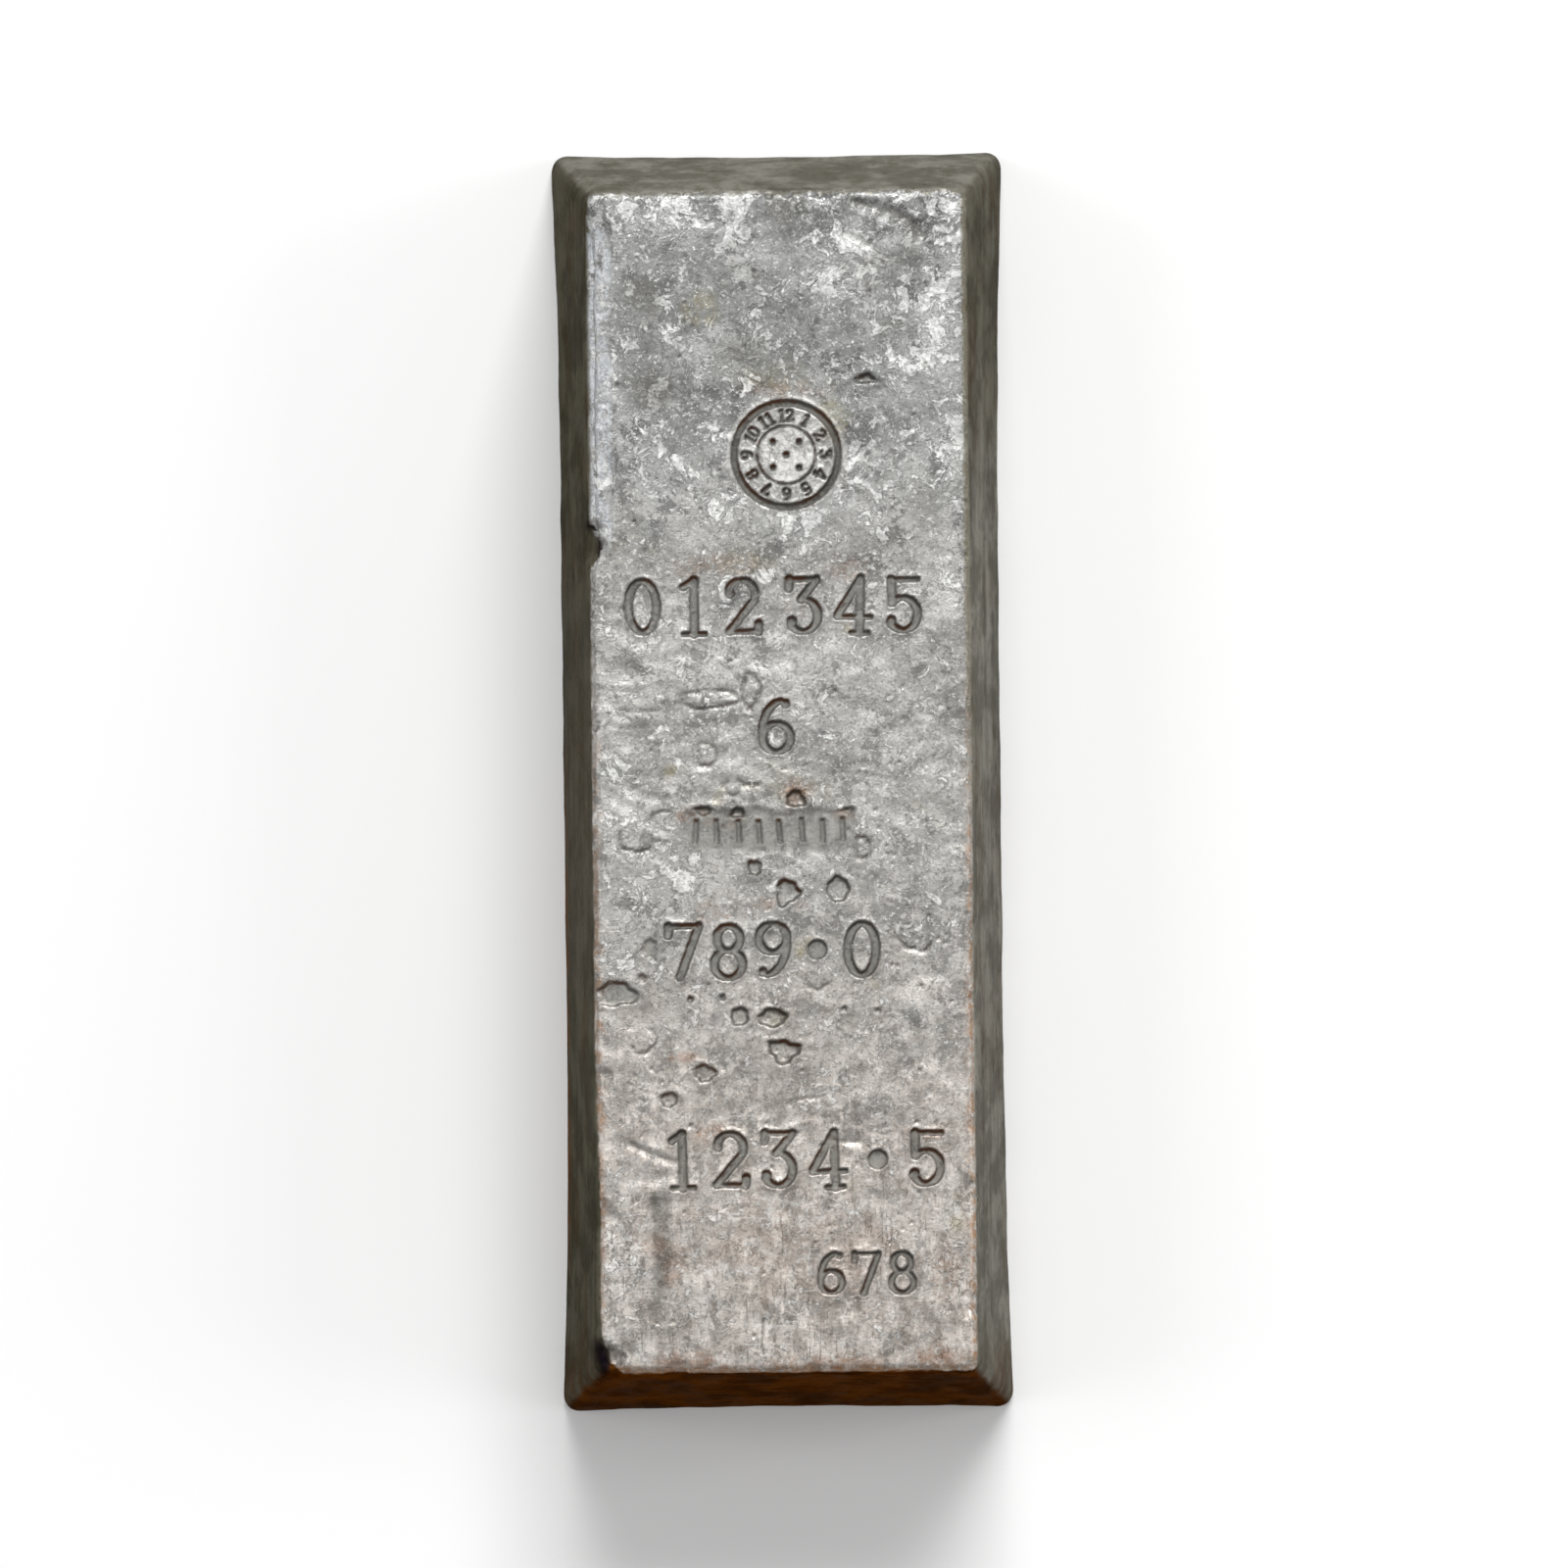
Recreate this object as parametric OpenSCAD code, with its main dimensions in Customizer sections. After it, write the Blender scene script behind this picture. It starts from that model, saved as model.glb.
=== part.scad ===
// A thousand-ounce silver bar: one casting with drafted walls, lying on its
// large face, with plain marks struck into the smaller face on top.
// Millimetres. Origin at the middle of the resting face, +Y along the bar, +Z up.

/* [Body] */
// Length of the resting face, corner to corner
base_l = 336; // [260:1:420]
// Width of the resting face, corner to corner
base_w = 121; // [100:1:160]
// Height from the resting face to the struck face
body_h = 91.5; // [70:0.5:110]
// Lean of the long side walls from upright, degrees
side_draft = 7; // [4:0.5:9]
// Lean of the end walls from upright, degrees
end_draft = 9.5; // [4:0.5:12]
// How far the long sides pull in between their corners at the resting face
side_sink = 1.8; // [0:0.1:3]
// How far the ends pull in between their corners at the resting face
end_sink = 0.8; // [0:0.1:2]

/* [Edges] */
// Corner radius of the resting face, seen from above
base_corner_r = 5; // [4:0.5:12]
// Corner radius of the struck face, seen from above
face_corner_r = 4; // [4:0.5:8]
// Rounding where the walls meet the resting face
base_edge_r = 2; // [1:0.5:3]
// Rounding where the walls meet the struck face
face_edge_r = 2.5; // [1:0.5:3.5]

/* [Marks] */
// How deep the marks are struck
mark_depth = 1; // [0.5:0.1:2]
// Height of the large digits
digit_h = 15.5; // [10:0.5:17]
// Height of the small digits in the last row
small_digit_h = 12; // [8:0.5:14]
// Width of a struck line, as a share of its digit's height
line_share = 0.13; // [0.1:0.01:0.16]
// The same share for the small dial numbers
dial_line_share = 0.17; // [0.12:0.01:0.2]
// Diameter of the point struck between digits
point_d = 5.3; // [3:0.1:6]
// Clear border between a row of marks and the edge of the struck face
row_margin = 4; // [2:0.5:8]

/* [Ring mark] */
// Outside diameter of the ring mark
ring_d = 28.8; // [24:0.2:34]
// Width of the ring mark's outer groove
ring_groove_w = 2; // [1:0.5:3]
// Width of the plain band between the two grooves
ring_band_w = 4.5; // [3:0.1:5]
// Width of the ring mark's inner groove
ring_inner_w = 0.8; // [0.5:0.1:1.2]
// Border between the band's dial numbers and the grooves
ring_number_gap = 0.6; // [0.4:0.1:0.9]
// Diameter of each of the five pips in the middle
ring_pip_d = 1.8; // [1.2:0.1:2.2]
// Border between the pips and the inner groove
ring_pip_gap = 1.5; // [0.8:0.1:2]

/* [Panel mark] */
// Length of the sunk panel, across the bar
panel_l = 44; // [30:1:56]
// Width of the sunk panel, along the bar
panel_w = 10.8; // [8:0.2:14]
// Number of plain strokes in the panel
panel_strokes = 8; // [4:1:10]
// Width of each stroke in the panel
panel_stroke_w = 1.5; // [1:0.1:2]
// Border between the strokes and the panel's rim
panel_margin = 2.2; // [1:0.1:3]
// How much deeper than the panel its strokes go
panel_stroke_depth = 0.5; // [0.2:0.1:1]

/* [Hidden] */

// Steps round a corner, along a side, round an edge and up the wall.
CORNER_STEPS = 8;
SIDE_STEPS = 16;
EDGE_STEPS = 4;
WALL_STEPS = 4;
// The sides run nearly straight and flare close to their corners.
SINK_POWER = 4;
// Steps along a digit's arc, and along a small dial number's.
ARC_STEPS = 14;
DIAL_ARC_STEPS = 6;
DIAL_NUMBERS = 12;
CUT_CLEAR = 1;

// The flat part of the struck face, inside the rounding of its edge.
face_l = base_l - 2 * body_h * tan(end_draft) - 2 * face_edge_r;
face_w = base_w - 2 * body_h * tan(side_draft) - 2 * face_edge_r;

// Where the marks go, as [across, along] shares of half the struck face.
RING_PLACE = [0.04, 0.56];
PANEL_PLACE = [-0.07, -0.085];

// Rows of digits: place, digit height, step from one digit to the next as a
// share of that height, and the characters. Between the digits, POINT is a
// struck point and GAP a narrow space.
POINT = -1;
GAP = -2;
GAP_SHARE = 0.2;
DIGIT_SHARE = 0.62;
ROWS = [
    [[-0.04, 0.3], digit_h, 0.83, [0, 1, 2, GAP, 3, 4, 5]],
    [[-0.03, 0.095], digit_h, 0.83, [6]],
    [[-0.06, -0.29], digit_h, 0.74, [7, 8, 9, POINT, 0]],
    [[0.1, -0.65], digit_h, 0.82, [1, 2, 3, 4, POINT, 5]],
    [[0.44, -0.845], small_digit_h, 0.76, [6, 7, 8]],
];

// Each digit's strokes on a digit of height 1 about its own middle: a line is
// [x0, y0, x1, y1] and an arc is [centre x, centre y, radius x, radius y, from, to].
DIGITS = [
    [[0, 0, 0.24, 0.43, 0, 360]],
    [[0.03, -0.49, 0.03, 0.49], [-0.16, -0.43, 0.22, -0.43], [-0.17, 0.3, 0.06, 0.45]],
    [[0, 0.19, 0.24, 0.24, -35, 175], [0.2, 0.06, -0.24, -0.42], [-0.28, -0.43, 0.28, -0.43]],
    [[-0.24, 0.43, 0.25, 0.43], [0.23, 0.45, -0.04, 0.08], [-0.02, -0.17, 0.25, 0.26, -155, 95]],
    [[0.1, -0.49, 0.1, 0.49], [0.1, 0.46, -0.27, -0.17], [-0.3, -0.18, 0.28, -0.18]],
    [[-0.22, 0.43, 0.24, 0.43], [-0.2, 0.48, -0.2, 0.02], [-0.02, -0.16, 0.26, 0.27, -155, 140]],
    [[0, -0.19, 0.24, 0.24, 0, 360], [0.13, -0.13, 0.37, 0.56, 100, 178]],
    [[-0.28, 0.43, 0.28, 0.43], [0.25, 0.46, -0.08, -0.49]],
    [[0, 0.22, 0.2, 0.21, 0, 360], [0, -0.2, 0.25, 0.23, 0, 360]],
    [[0, 0.19, 0.24, 0.24, 0, 360], [-0.13, 0.13, 0.37, 0.56, -80, -2]],
];

// ---- Body ----

// Half the width of an outline that pulls in by sink between its corners.
function sunk(half, sink, t) = half - sink * (1 - pow(abs(t), SINK_POWER));

function corner_points(hl, hw, r, quarter) =
    let (sx = (quarter == 0 || quarter == 3) ? 1 : -1, sy = quarter < 2 ? 1 : -1)
    [for (i = [0:CORNER_STEPS])
        let (a = 90 * quarter + 90 * i / CORNER_STEPS)
        [sx * (hw - r) + r * cos(a), sy * (hl - r) + r * sin(a)]];

// The side that follows the corner of the same quarter.
function side_points(hl, hw, r, sinks, quarter) =
    [for (i = [1:SIDE_STEPS - 1])
        let (t = 1 - 2 * i / SIDE_STEPS)
        quarter == 0 ? [t * (hw - r), sunk(hl, sinks[1], t)]
        : quarter == 1 ? [-sunk(hw, sinks[0], t), t * (hl - r)]
        : quarter == 2 ? [-t * (hw - r), -sunk(hl, sinks[1], t)]
        : [sunk(hw, sinks[0], t), -t * (hl - r)]];

function outline(hl, hw, r, sinks) =
    [for (q = [0:3])
        each concat(corner_points(hl, hw, r, q), side_points(hl, hw, r, sinks, q))];

// The wall from bottom to top: [height, how far an edge's rounding holds it in].
function wall_profile() = concat(
    [for (i = [0:EDGE_STEPS])
        let (a = 90 * i / EDGE_STEPS)
        [base_edge_r * (1 - cos(a)), base_edge_r * (1 - sin(a))]],
    [for (i = [1:WALL_STEPS - 1])
        [base_edge_r + (body_h - base_edge_r - face_edge_r) * i / WALL_STEPS, 0]],
    [for (i = [0:EDGE_STEPS])
        let (a = 90 * i / EDGE_STEPS)
        [body_h - face_edge_r * (1 - sin(a)), face_edge_r * (1 - cos(a))]]);

function ring_at(z, held) =
    let (up = z / body_h,
         hl = base_l / 2 - z * tan(end_draft) - held,
         hw = base_w / 2 - z * tan(side_draft) - held,
         r = base_corner_r + (face_corner_r - base_corner_r) * up - held)
    [for (p = outline(hl, hw, r, [side_sink, end_sink] * (1 - up))) [p[0], p[1], z]];

module casting() {
    rings = [for (s = wall_profile()) ring_at(s[0], s[1])];
    n = len(rings[0]);
    top_ring = (len(rings) - 1) * n;
    base_mid = len(rings) * n;
    face_mid = base_mid + 1;
    polyhedron(
        points = concat([for (ring = rings) each ring], [[0, 0, 0], [0, 0, body_h]]),
        faces = concat(
            [for (k = [0:len(rings) - 2], i = [0:n - 1])
                let (a = k * n + i, b = k * n + (i + 1) % n)
                each [[a, a + n, b], [b, a + n, b + n]]],
            [for (i = [0:n - 1]) [base_mid, i, (i + 1) % n]],
            [for (i = [0:n - 1]) [face_mid, top_ring + (i + 1) % n, top_ring + i]]),
        convexity = 4);
}

// ---- Marks, drawn flat ----

function oval_point(s, grow, turn) =
    [s[0] + (s[2] + grow) * cos(turn), s[1] + (s[3] + grow) * sin(turn)];

module line_stroke(s, w) {
    run = [s[2] - s[0], s[3] - s[1]];
    translate([s[0], s[1]])
        rotate(atan2(run[1], run[0]))
            translate([0, -w / 2])
                square([norm(run), w]);
}

module oval_stroke(s, w, steps) {
    turns = [for (i = [0:2 * steps - 1]) 180 * i / steps];
    difference() {
        polygon([for (t = turns) oval_point(s, w / 2, t)]);
        polygon([for (t = turns) oval_point(s, -w / 2, t)]);
    }
}

module arc_stroke(s, w, steps) {
    turns = [for (i = [0:steps]) s[4] + (s[5] - s[4]) * i / steps];
    polygon(concat(
        [for (t = turns) oval_point(s, w / 2, t)],
        [for (i = [steps:-1:0]) oval_point(s, -w / 2, turns[i])]));
}

module digit(number, h, w, steps) {
    for (s = DIGITS[number]) {
        at = [for (i = [0:3]) s[i] * h];
        if (len(s) == 4) line_stroke(at, w);
        else if (s[5] - s[4] == 360) oval_stroke(at, w, steps);
        else arc_stroke(concat(at, [s[4], s[5]]), w, steps);
    }
}

// How far along its row character i stands from the first one, for digits of height 1.
function carried(chars, step, i) =
    i == 0 ? 0 : carried(chars, step, i - 1) + (chars[i - 1] == GAP ? GAP_SHARE : step);

// One row about its own middle. A row that is too long for the face is struck smaller.
module row(spec) {
    chars = spec[3];
    span = carried(chars, spec[2], len(chars) - 1);
    room = face_w * (1 - abs(spec[0][0])) - 2 * row_margin;
    h = min(spec[1], room / (span + DIGIT_SHARE));
    for (i = [0:len(chars) - 1])
        translate([(carried(chars, spec[2], i) - span / 2) * h, 0]) {
            if (chars[i] >= 0) digit(chars[i], h, line_share * h, ARC_STEPS);
            if (chars[i] == POINT) circle(d = point_d, $fn = 32);
        }
}

module groove(outer_d, w) {
    difference() {
        circle(d = outer_d, $fn = 64);
        circle(d = outer_d - 2 * w, $fn = 64);
    }
}

// A number of one or two digits, with its foot towards the ring's middle.
module dial_number(number, h) {
    digits = number < 10 ? [number] : [floor(number / 10), number % 10];
    for (i = [0:len(digits) - 1])
        translate([(i - (len(digits) - 1) / 2) * DIGIT_SHARE * h, 0])
            digit(digits[i], h, dial_line_share * h, DIAL_ARC_STEPS);
}

// Two round grooves with the numbers of a plain dial between them and five
// pips in the middle.
module ring_mark() {
    band_d = ring_d - 2 * ring_groove_w;
    inner_d = band_d - 2 * ring_band_w;
    pip_ring_r = inner_d / 2 - ring_inner_w - ring_pip_gap - ring_pip_d / 2;
    groove(ring_d, ring_groove_w);
    groove(inner_d, ring_inner_w);
    for (number = [1:DIAL_NUMBERS])
        rotate(-360 * number / DIAL_NUMBERS)
            translate([0, (band_d - ring_band_w) / 2])
                dial_number(number, ring_band_w - 2 * ring_number_gap);
    circle(d = ring_pip_d, $fn = 24);
    for (i = [0:3])
        rotate(45 + 90 * i)
            translate([pip_ring_r, 0])
                circle(d = ring_pip_d, $fn = 24);
}

module panel_stroke_marks() {
    step = (panel_l - 2 * panel_margin - panel_stroke_w) / (panel_strokes - 1);
    for (i = [0:panel_strokes - 1])
        translate([(i - (panel_strokes - 1) / 2) * step, 0])
            square([panel_stroke_w, panel_w - 2 * panel_margin], center = true);
}

// Sinks a flat mark into the struck face, at a place on it.
module strike(place, depth) {
    translate([place[0] * face_w / 2, place[1] * face_l / 2, body_h - depth])
        linear_extrude(height = depth + CUT_CLEAR)
            children();
}

module ingot() {
    color("silver")
        difference() {
            casting();
            strike(RING_PLACE, mark_depth) ring_mark();
            for (spec = ROWS) strike(spec[0], mark_depth) row(spec);
            strike(PANEL_PLACE, mark_depth) square([panel_l, panel_w], center = true);
            strike(PANEL_PLACE, mark_depth + panel_stroke_depth) panel_stroke_marks();
        }
}

ingot();
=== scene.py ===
"""A cast silver bar of about a thousand ounces, seen from straight above on a pale floor.

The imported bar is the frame. One dense mesh replaces it: the same drafted block, with the
relief of a real casting pushed into it. The shape functions work in millimetres in the
part's own frame, and mesh_object() turns them into metres. In the comments, near and far
are the two ends: far is the one with the ring mark, at +Y.
"""
import math

import bpy
import numpy as np
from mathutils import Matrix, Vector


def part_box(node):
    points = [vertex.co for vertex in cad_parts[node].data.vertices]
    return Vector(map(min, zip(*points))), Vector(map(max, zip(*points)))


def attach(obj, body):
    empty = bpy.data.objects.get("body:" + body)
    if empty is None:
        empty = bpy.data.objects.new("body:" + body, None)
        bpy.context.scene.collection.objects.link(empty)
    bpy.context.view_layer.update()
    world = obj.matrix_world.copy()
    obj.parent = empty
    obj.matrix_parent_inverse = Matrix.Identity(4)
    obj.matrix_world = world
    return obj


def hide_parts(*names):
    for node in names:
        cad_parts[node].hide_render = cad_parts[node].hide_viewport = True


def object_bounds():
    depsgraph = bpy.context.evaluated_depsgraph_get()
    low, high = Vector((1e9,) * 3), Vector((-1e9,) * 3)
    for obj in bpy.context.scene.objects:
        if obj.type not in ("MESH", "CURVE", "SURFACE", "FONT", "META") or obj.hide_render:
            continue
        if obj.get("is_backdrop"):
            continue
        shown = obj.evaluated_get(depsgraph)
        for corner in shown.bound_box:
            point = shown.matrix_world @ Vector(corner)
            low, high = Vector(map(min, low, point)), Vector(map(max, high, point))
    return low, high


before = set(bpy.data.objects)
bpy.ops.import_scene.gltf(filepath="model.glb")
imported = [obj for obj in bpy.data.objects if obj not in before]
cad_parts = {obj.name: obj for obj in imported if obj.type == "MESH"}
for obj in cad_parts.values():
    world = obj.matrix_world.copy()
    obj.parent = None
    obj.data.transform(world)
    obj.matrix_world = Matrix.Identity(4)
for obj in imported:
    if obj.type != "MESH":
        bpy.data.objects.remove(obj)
cad_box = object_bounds()

MM = 0.001

# ---- The block, as the construction model has it ----

_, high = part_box("ingot")
HALF_W, HALF_L, TOP = high.x / MM, high.y / MM, high.z / MM
SIDE_LEAN = math.tan(math.radians(7))
END_LEAN = math.tan(math.radians(9.5))
SIDE_SINK, END_SINK = 1.8, 0.8
SINK_POWER = 4
BASE_CORNER_R, FACE_CORNER_R = 5.0, 4.0
BASE_EDGE_R, FACE_EDGE_R = 2.0, 2.5

# The flat part of the struck face.
FACE_HALF_W = HALF_W - (TOP - BASE_EDGE_R) * SIDE_LEAN - FACE_EDGE_R
FACE_HALF_L = HALF_L - (TOP - BASE_EDGE_R) * END_LEAN - FACE_EDGE_R

# ---- The dense mesh before it is thinned ----

FACE_STEP = 0.36
WALL_STEP = 0.9
EDGE_STEPS = 7
BASE_EDGE_STEPS = 3
MOST_TRIANGLES = 196000

# The walls take every second line of the face's grid, and the base every fourth.
BASE_STRIDE = 4
BASE_INSET = 1.2

# How far the skin lies under the struck face's true height, and its highest points at least.
FACE_SETBACK = 0.5
CLEAR_OF_TOP = 0.01

NOISE_CELLS = 256


# ---- Number helpers ----

def smooth(start, end, v):
    """0 below start, 1 above end, with soft ends. It runs backwards if end < start."""
    t = np.clip((v - start) / (end - start), 0, 1)
    return t * t * (3 - 2 * t)


def bell(v, width):
    """1 at zero, falling away on both sides over about width."""
    return np.exp(-(v / width) ** 2)


def noise(x, y, size, seed):
    """Smooth gradient noise, about -1 to 1, with features about size mm across."""
    cells = (NOISE_CELLS, NOISE_CELLS)
    turns = np.random.default_rng(seed).uniform(0, 2 * np.pi, cells)
    pull_x, pull_y = np.cos(turns), np.sin(turns)
    u, v = x / size, y / size
    iu, iv = np.floor(u).astype(int), np.floor(v).astype(int)
    fu, fv = u - iu, v - iv

    def corner(du, dv):
        at = (iu + du) % NOISE_CELLS, (iv + dv) % NOISE_CELLS
        return pull_x[at] * (fu - du) + pull_y[at] * (fv - dv)

    su, sv = (t ** 3 * (t * (6 * t - 15) + 10) for t in (fu, fv))
    lower = corner(0, 0) + su * (corner(1, 0) - corner(0, 0))
    upper = corner(0, 1) + su * (corner(1, 1) - corner(0, 1))
    return 1.5 * (lower + sv * (upper - lower))


def within(x, y, middle, reach):
    """The numbers of the points within reach of a middle, along x and along y."""
    return np.nonzero((np.abs(x - middle[0]) < reach) & (np.abs(y - middle[1]) < reach))[0]


# ---- Struck marks ----

# How the marks are struck.
STRIKE_DEPTH = 1.0
STRIKE_SLOPE = 0.5
PANEL_DEPTH = 0.55
DIGIT_H, SMALL_DIGIT_H = 15.5, 12.0
THICK, THIN = 0.16, 0.095
POINT_R = 2.65
POINT, GAP = -1, -2
GAP_SHARE = 0.2

# A distance that counts as out of reach of any mark, and how finely strokes are sampled.
OUT_OF_REACH = 9.0
LINE_POINTS, ARC_POINTS = 40, 80

# Rows: place as (across, along) shares of half the face, digit height, step, characters.
ROWS = [
    ((-0.04, 0.3), DIGIT_H, 0.83, (0, 1, 2, GAP, 3, 4, 5)),
    ((-0.03, 0.095), DIGIT_H, 0.83, (6,)),
    ((-0.06, -0.29), DIGIT_H, 0.74, (7, 8, 9, POINT, 0)),
    ((0.1, -0.65), DIGIT_H, 0.82, (1, 2, 3, 4, POINT, 5)),
    ((0.44, -0.845), SMALL_DIGIT_H, 0.76, (6, 7, 8)),
]

RING_PLACE = (0.04, 0.56)
RING_R, RING_GROOVE_W = 14.4, 2.0
RING_BAND_W, RING_INNER_W = 4.5, 0.8
DIAL_DIGIT_H = 3.3
DIAL_NUMBERS = 12
DIAL_BOLD = 0.15
DIAL_STEP = 0.62
PIP_R, PIP_RING_R = 0.95, 4.7
OUTER_PIPS = 4

PANEL_PLACE = (-0.07, -0.085)
PANEL_L, PANEL_W = 44.0, 10.8
PANEL_STROKES, PANEL_STROKE_W, PANEL_MARGIN = 8, 1.5, 2.2

# A digit of height 1 about its own middle. A stroke is a line (x0, y0, x1, y1), an arc
# (centre x, centre y, radius x, radius y, from, to) or a ball (x, y, radius).
DIGITS = [
    [(0, 0, 0.235, 0.425, 0, 360)],
    [(0.03, -0.45, 0.03, 0.44), (-0.15, -0.455, 0.21, -0.455), (-0.15, 0.33, 0.03, 0.44)],
    [(0, 0.2, 0.22, 0.235, -35, 165), (0.18, 0.07, -0.22, -0.41), (-0.25, -0.42, 0.26, -0.42),
     (0.26, -0.42, 0.27, -0.3), (-0.2, 0.22, 0.085)],
    [(-0.23, 0.43, 0.24, 0.43), (-0.24, 0.43, -0.25, 0.3), (0.22, 0.43, -0.05, 0.1),
     (-0.02, -0.17, 0.24, 0.27, -150, 100), (-0.21, -0.26, 0.085)],
    [(0.1, -0.45, 0.1, 0.45), (0.1, 0.45, -0.27, -0.17), (-0.29, -0.19, 0.28, -0.19),
     (-0.04, -0.455, 0.24, -0.455)],
    [(-0.2, 0.42, 0.24, 0.42), (-0.2, 0.42, -0.2, 0.05), (-0.02, -0.15, 0.24, 0.27, -150, 135),
     (-0.21, -0.25, 0.085)],
    [(0, -0.19, 0.23, 0.235, 0, 360), (0.13, -0.13, 0.36, 0.55, 95, 178), (0.17, 0.37, 0.08)],
    [(-0.25, 0.42, 0.27, 0.42), (-0.25, 0.42, -0.26, 0.28), (0.25, 0.41, -0.07, -0.42)],
    [(0, 0.22, 0.19, 0.205, 0, 360), (0, -0.2, 0.235, 0.23, 0, 360)],
    [(0, 0.19, 0.23, 0.235, 0, 360), (-0.13, 0.13, 0.36, 0.55, -85, -2), (-0.17, -0.37, 0.08)],
]


def stroke_path(stroke, h, bold):
    """The points down the middle of a stroke and half its width at each, in mm."""
    if len(stroke) == 3:
        return np.array([stroke[:2]]) * h, np.array([stroke[2] * h])
    if len(stroke) == 4:
        t = np.linspace(0, 1, LINE_POINTS)[:, None]
        path = (np.array(stroke[:2]) * (1 - t) + np.array(stroke[2:]) * t) * h
    else:
        turn = np.radians(np.linspace(stroke[4], stroke[5], ARC_POINTS))
        path = np.stack([stroke[0] + stroke[2] * np.cos(turn),
                         stroke[1] + stroke[3] * np.sin(turn)], 1) * h
    run = np.gradient(path, axis=0)
    steep = np.abs(run[:, 1]) / np.hypot(*run.T)
    return path, h / 2 * (THIN + (THICK - THIN) * steep + bold)


def strokes_distance(x, y, strokes, h, bold):
    """Signed distance in mm to a glyph's edge: negative inside it."""
    best = np.full(x.shape, OUT_OF_REACH)
    for stroke in strokes:
        for (px, py), half in zip(*stroke_path(stroke, h, bold)):
            np.minimum(best, np.hypot(x - px, y - py) - half, out=best)
    return best


class Marks:
    """Collects the signed distance to the nearest struck mark, and that to the panel."""

    def __init__(self, x, y):
        self.x, self.y = x, y
        self.distance = np.full(x.shape, OUT_OF_REACH)
        self.panel = np.full(x.shape, OUT_OF_REACH)

    def add(self, at, distance):
        self.distance[at] = np.minimum(self.distance[at], distance)

    def digit(self, number, cx, cy, h, turn, bold=0.0):
        """A digit turned clockwise by turn degrees about its own middle."""
        at = within(self.x, self.y, (cx, cy), h)
        dx, dy = self.x[at] - cx, self.y[at] - cy
        c, s = math.cos(math.radians(turn)), math.sin(math.radians(turn))
        dx, dy = dx * c - dy * s, dx * s + dy * c
        self.add(at, strokes_distance(dx, dy, DIGITS[number], h, bold))

    def dot(self, cx, cy, r):
        at = within(self.x, self.y, (cx, cy), 2 * r)
        self.add(at, np.hypot(self.x[at] - cx, self.y[at] - cy) - r)

    def ring(self, cx, cy, middle_r, w):
        at = within(self.x, self.y, (cx, cy), middle_r + 3 * w)
        r = np.hypot(self.x[at] - cx, self.y[at] - cy)
        self.add(at, np.abs(r - middle_r) - w / 2)


def box_distance(x, y, half_x, half_y, r=0.3):
    """Signed distance to a rectangle with corners rounded by r."""
    qx, qy = np.abs(x) - half_x + r, np.abs(y) - half_y + r
    return np.hypot(np.maximum(qx, 0), np.maximum(qy, 0)) + np.minimum(np.maximum(qx, qy), 0) - r


def place(share):
    """The place of a mark, from its shares of half the face."""
    return share[0] * FACE_HALF_W, share[1] * FACE_HALF_L


def strike_rows(marks):
    wobble = np.random.default_rng(31)
    for share, h, step, chars in ROWS:
        cx, cy = place(share)
        steps = [GAP_SHARE if c == GAP else step for c in chars]
        starts = np.concatenate([[0], np.cumsum(steps[:-1])])
        for c, start in zip(chars, starts):
            x = cx + (start - starts[-1] / 2) * h
            lift, turn = wobble.uniform(-0.3, 0.3), wobble.uniform(-1.5, 1.5)
            if c == POINT:
                marks.dot(x, cy + lift, POINT_R)
            elif c >= 0:
                marks.digit(c, x, cy + lift, h, turn)


def strike_ring(marks):
    cx, cy = place(RING_PLACE)
    band_r = RING_R - RING_GROOVE_W
    inner_r = band_r - RING_BAND_W
    marks.ring(cx, cy, RING_R - RING_GROOVE_W / 2, RING_GROOVE_W)
    marks.ring(cx, cy, inner_r - RING_INNER_W / 2, RING_INNER_W)
    marks.dot(cx, cy, PIP_R)
    for i in range(OUTER_PIPS):
        a = math.radians(45 + 360 / OUTER_PIPS * i)
        marks.dot(cx + PIP_RING_R * math.cos(a), cy + PIP_RING_R * math.sin(a), PIP_R)
    for number in range(1, DIAL_NUMBERS + 1):
        turn = 360 * number / DIAL_NUMBERS
        a = math.radians(90 - turn)
        digits = [int(c) for c in str(number)]
        for i, d in enumerate(digits):
            side = (i - (len(digits) - 1) / 2) * DIAL_STEP * DIAL_DIGIT_H
            r = band_r - RING_BAND_W / 2
            marks.digit(d, cx + r * math.cos(a) + side * math.sin(a),
                        cy + r * math.sin(a) - side * math.cos(a), DIAL_DIGIT_H, turn, DIAL_BOLD)


def strike_panel(marks):
    cx, cy = place(PANEL_PLACE)
    marks.panel = box_distance(marks.x - cx, marks.y - cy, PANEL_L / 2, PANEL_W / 2)
    step = (PANEL_L - 2 * PANEL_MARGIN - PANEL_STROKE_W) / (PANEL_STROKES - 1)
    uneven = np.random.default_rng(33)
    for i in range(PANEL_STROKES):
        x = cx + (i - (PANEL_STROKES - 1) / 2) * step + uneven.uniform(-0.3, 0.3)
        y = cy + uneven.uniform(-0.4, 0.4)
        tilt = math.tan(math.radians(uneven.uniform(-5, 5)))
        at = within(marks.x, marks.y, (x, y), PANEL_W)
        along = marks.y[at] - y
        marks.add(at, box_distance(marks.x[at] - x - tilt * along, along,
                                   PANEL_STROKE_W / 2, PANEL_W / 2 - PANEL_MARGIN))


# ---- Flaws in the struck face ----

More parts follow.
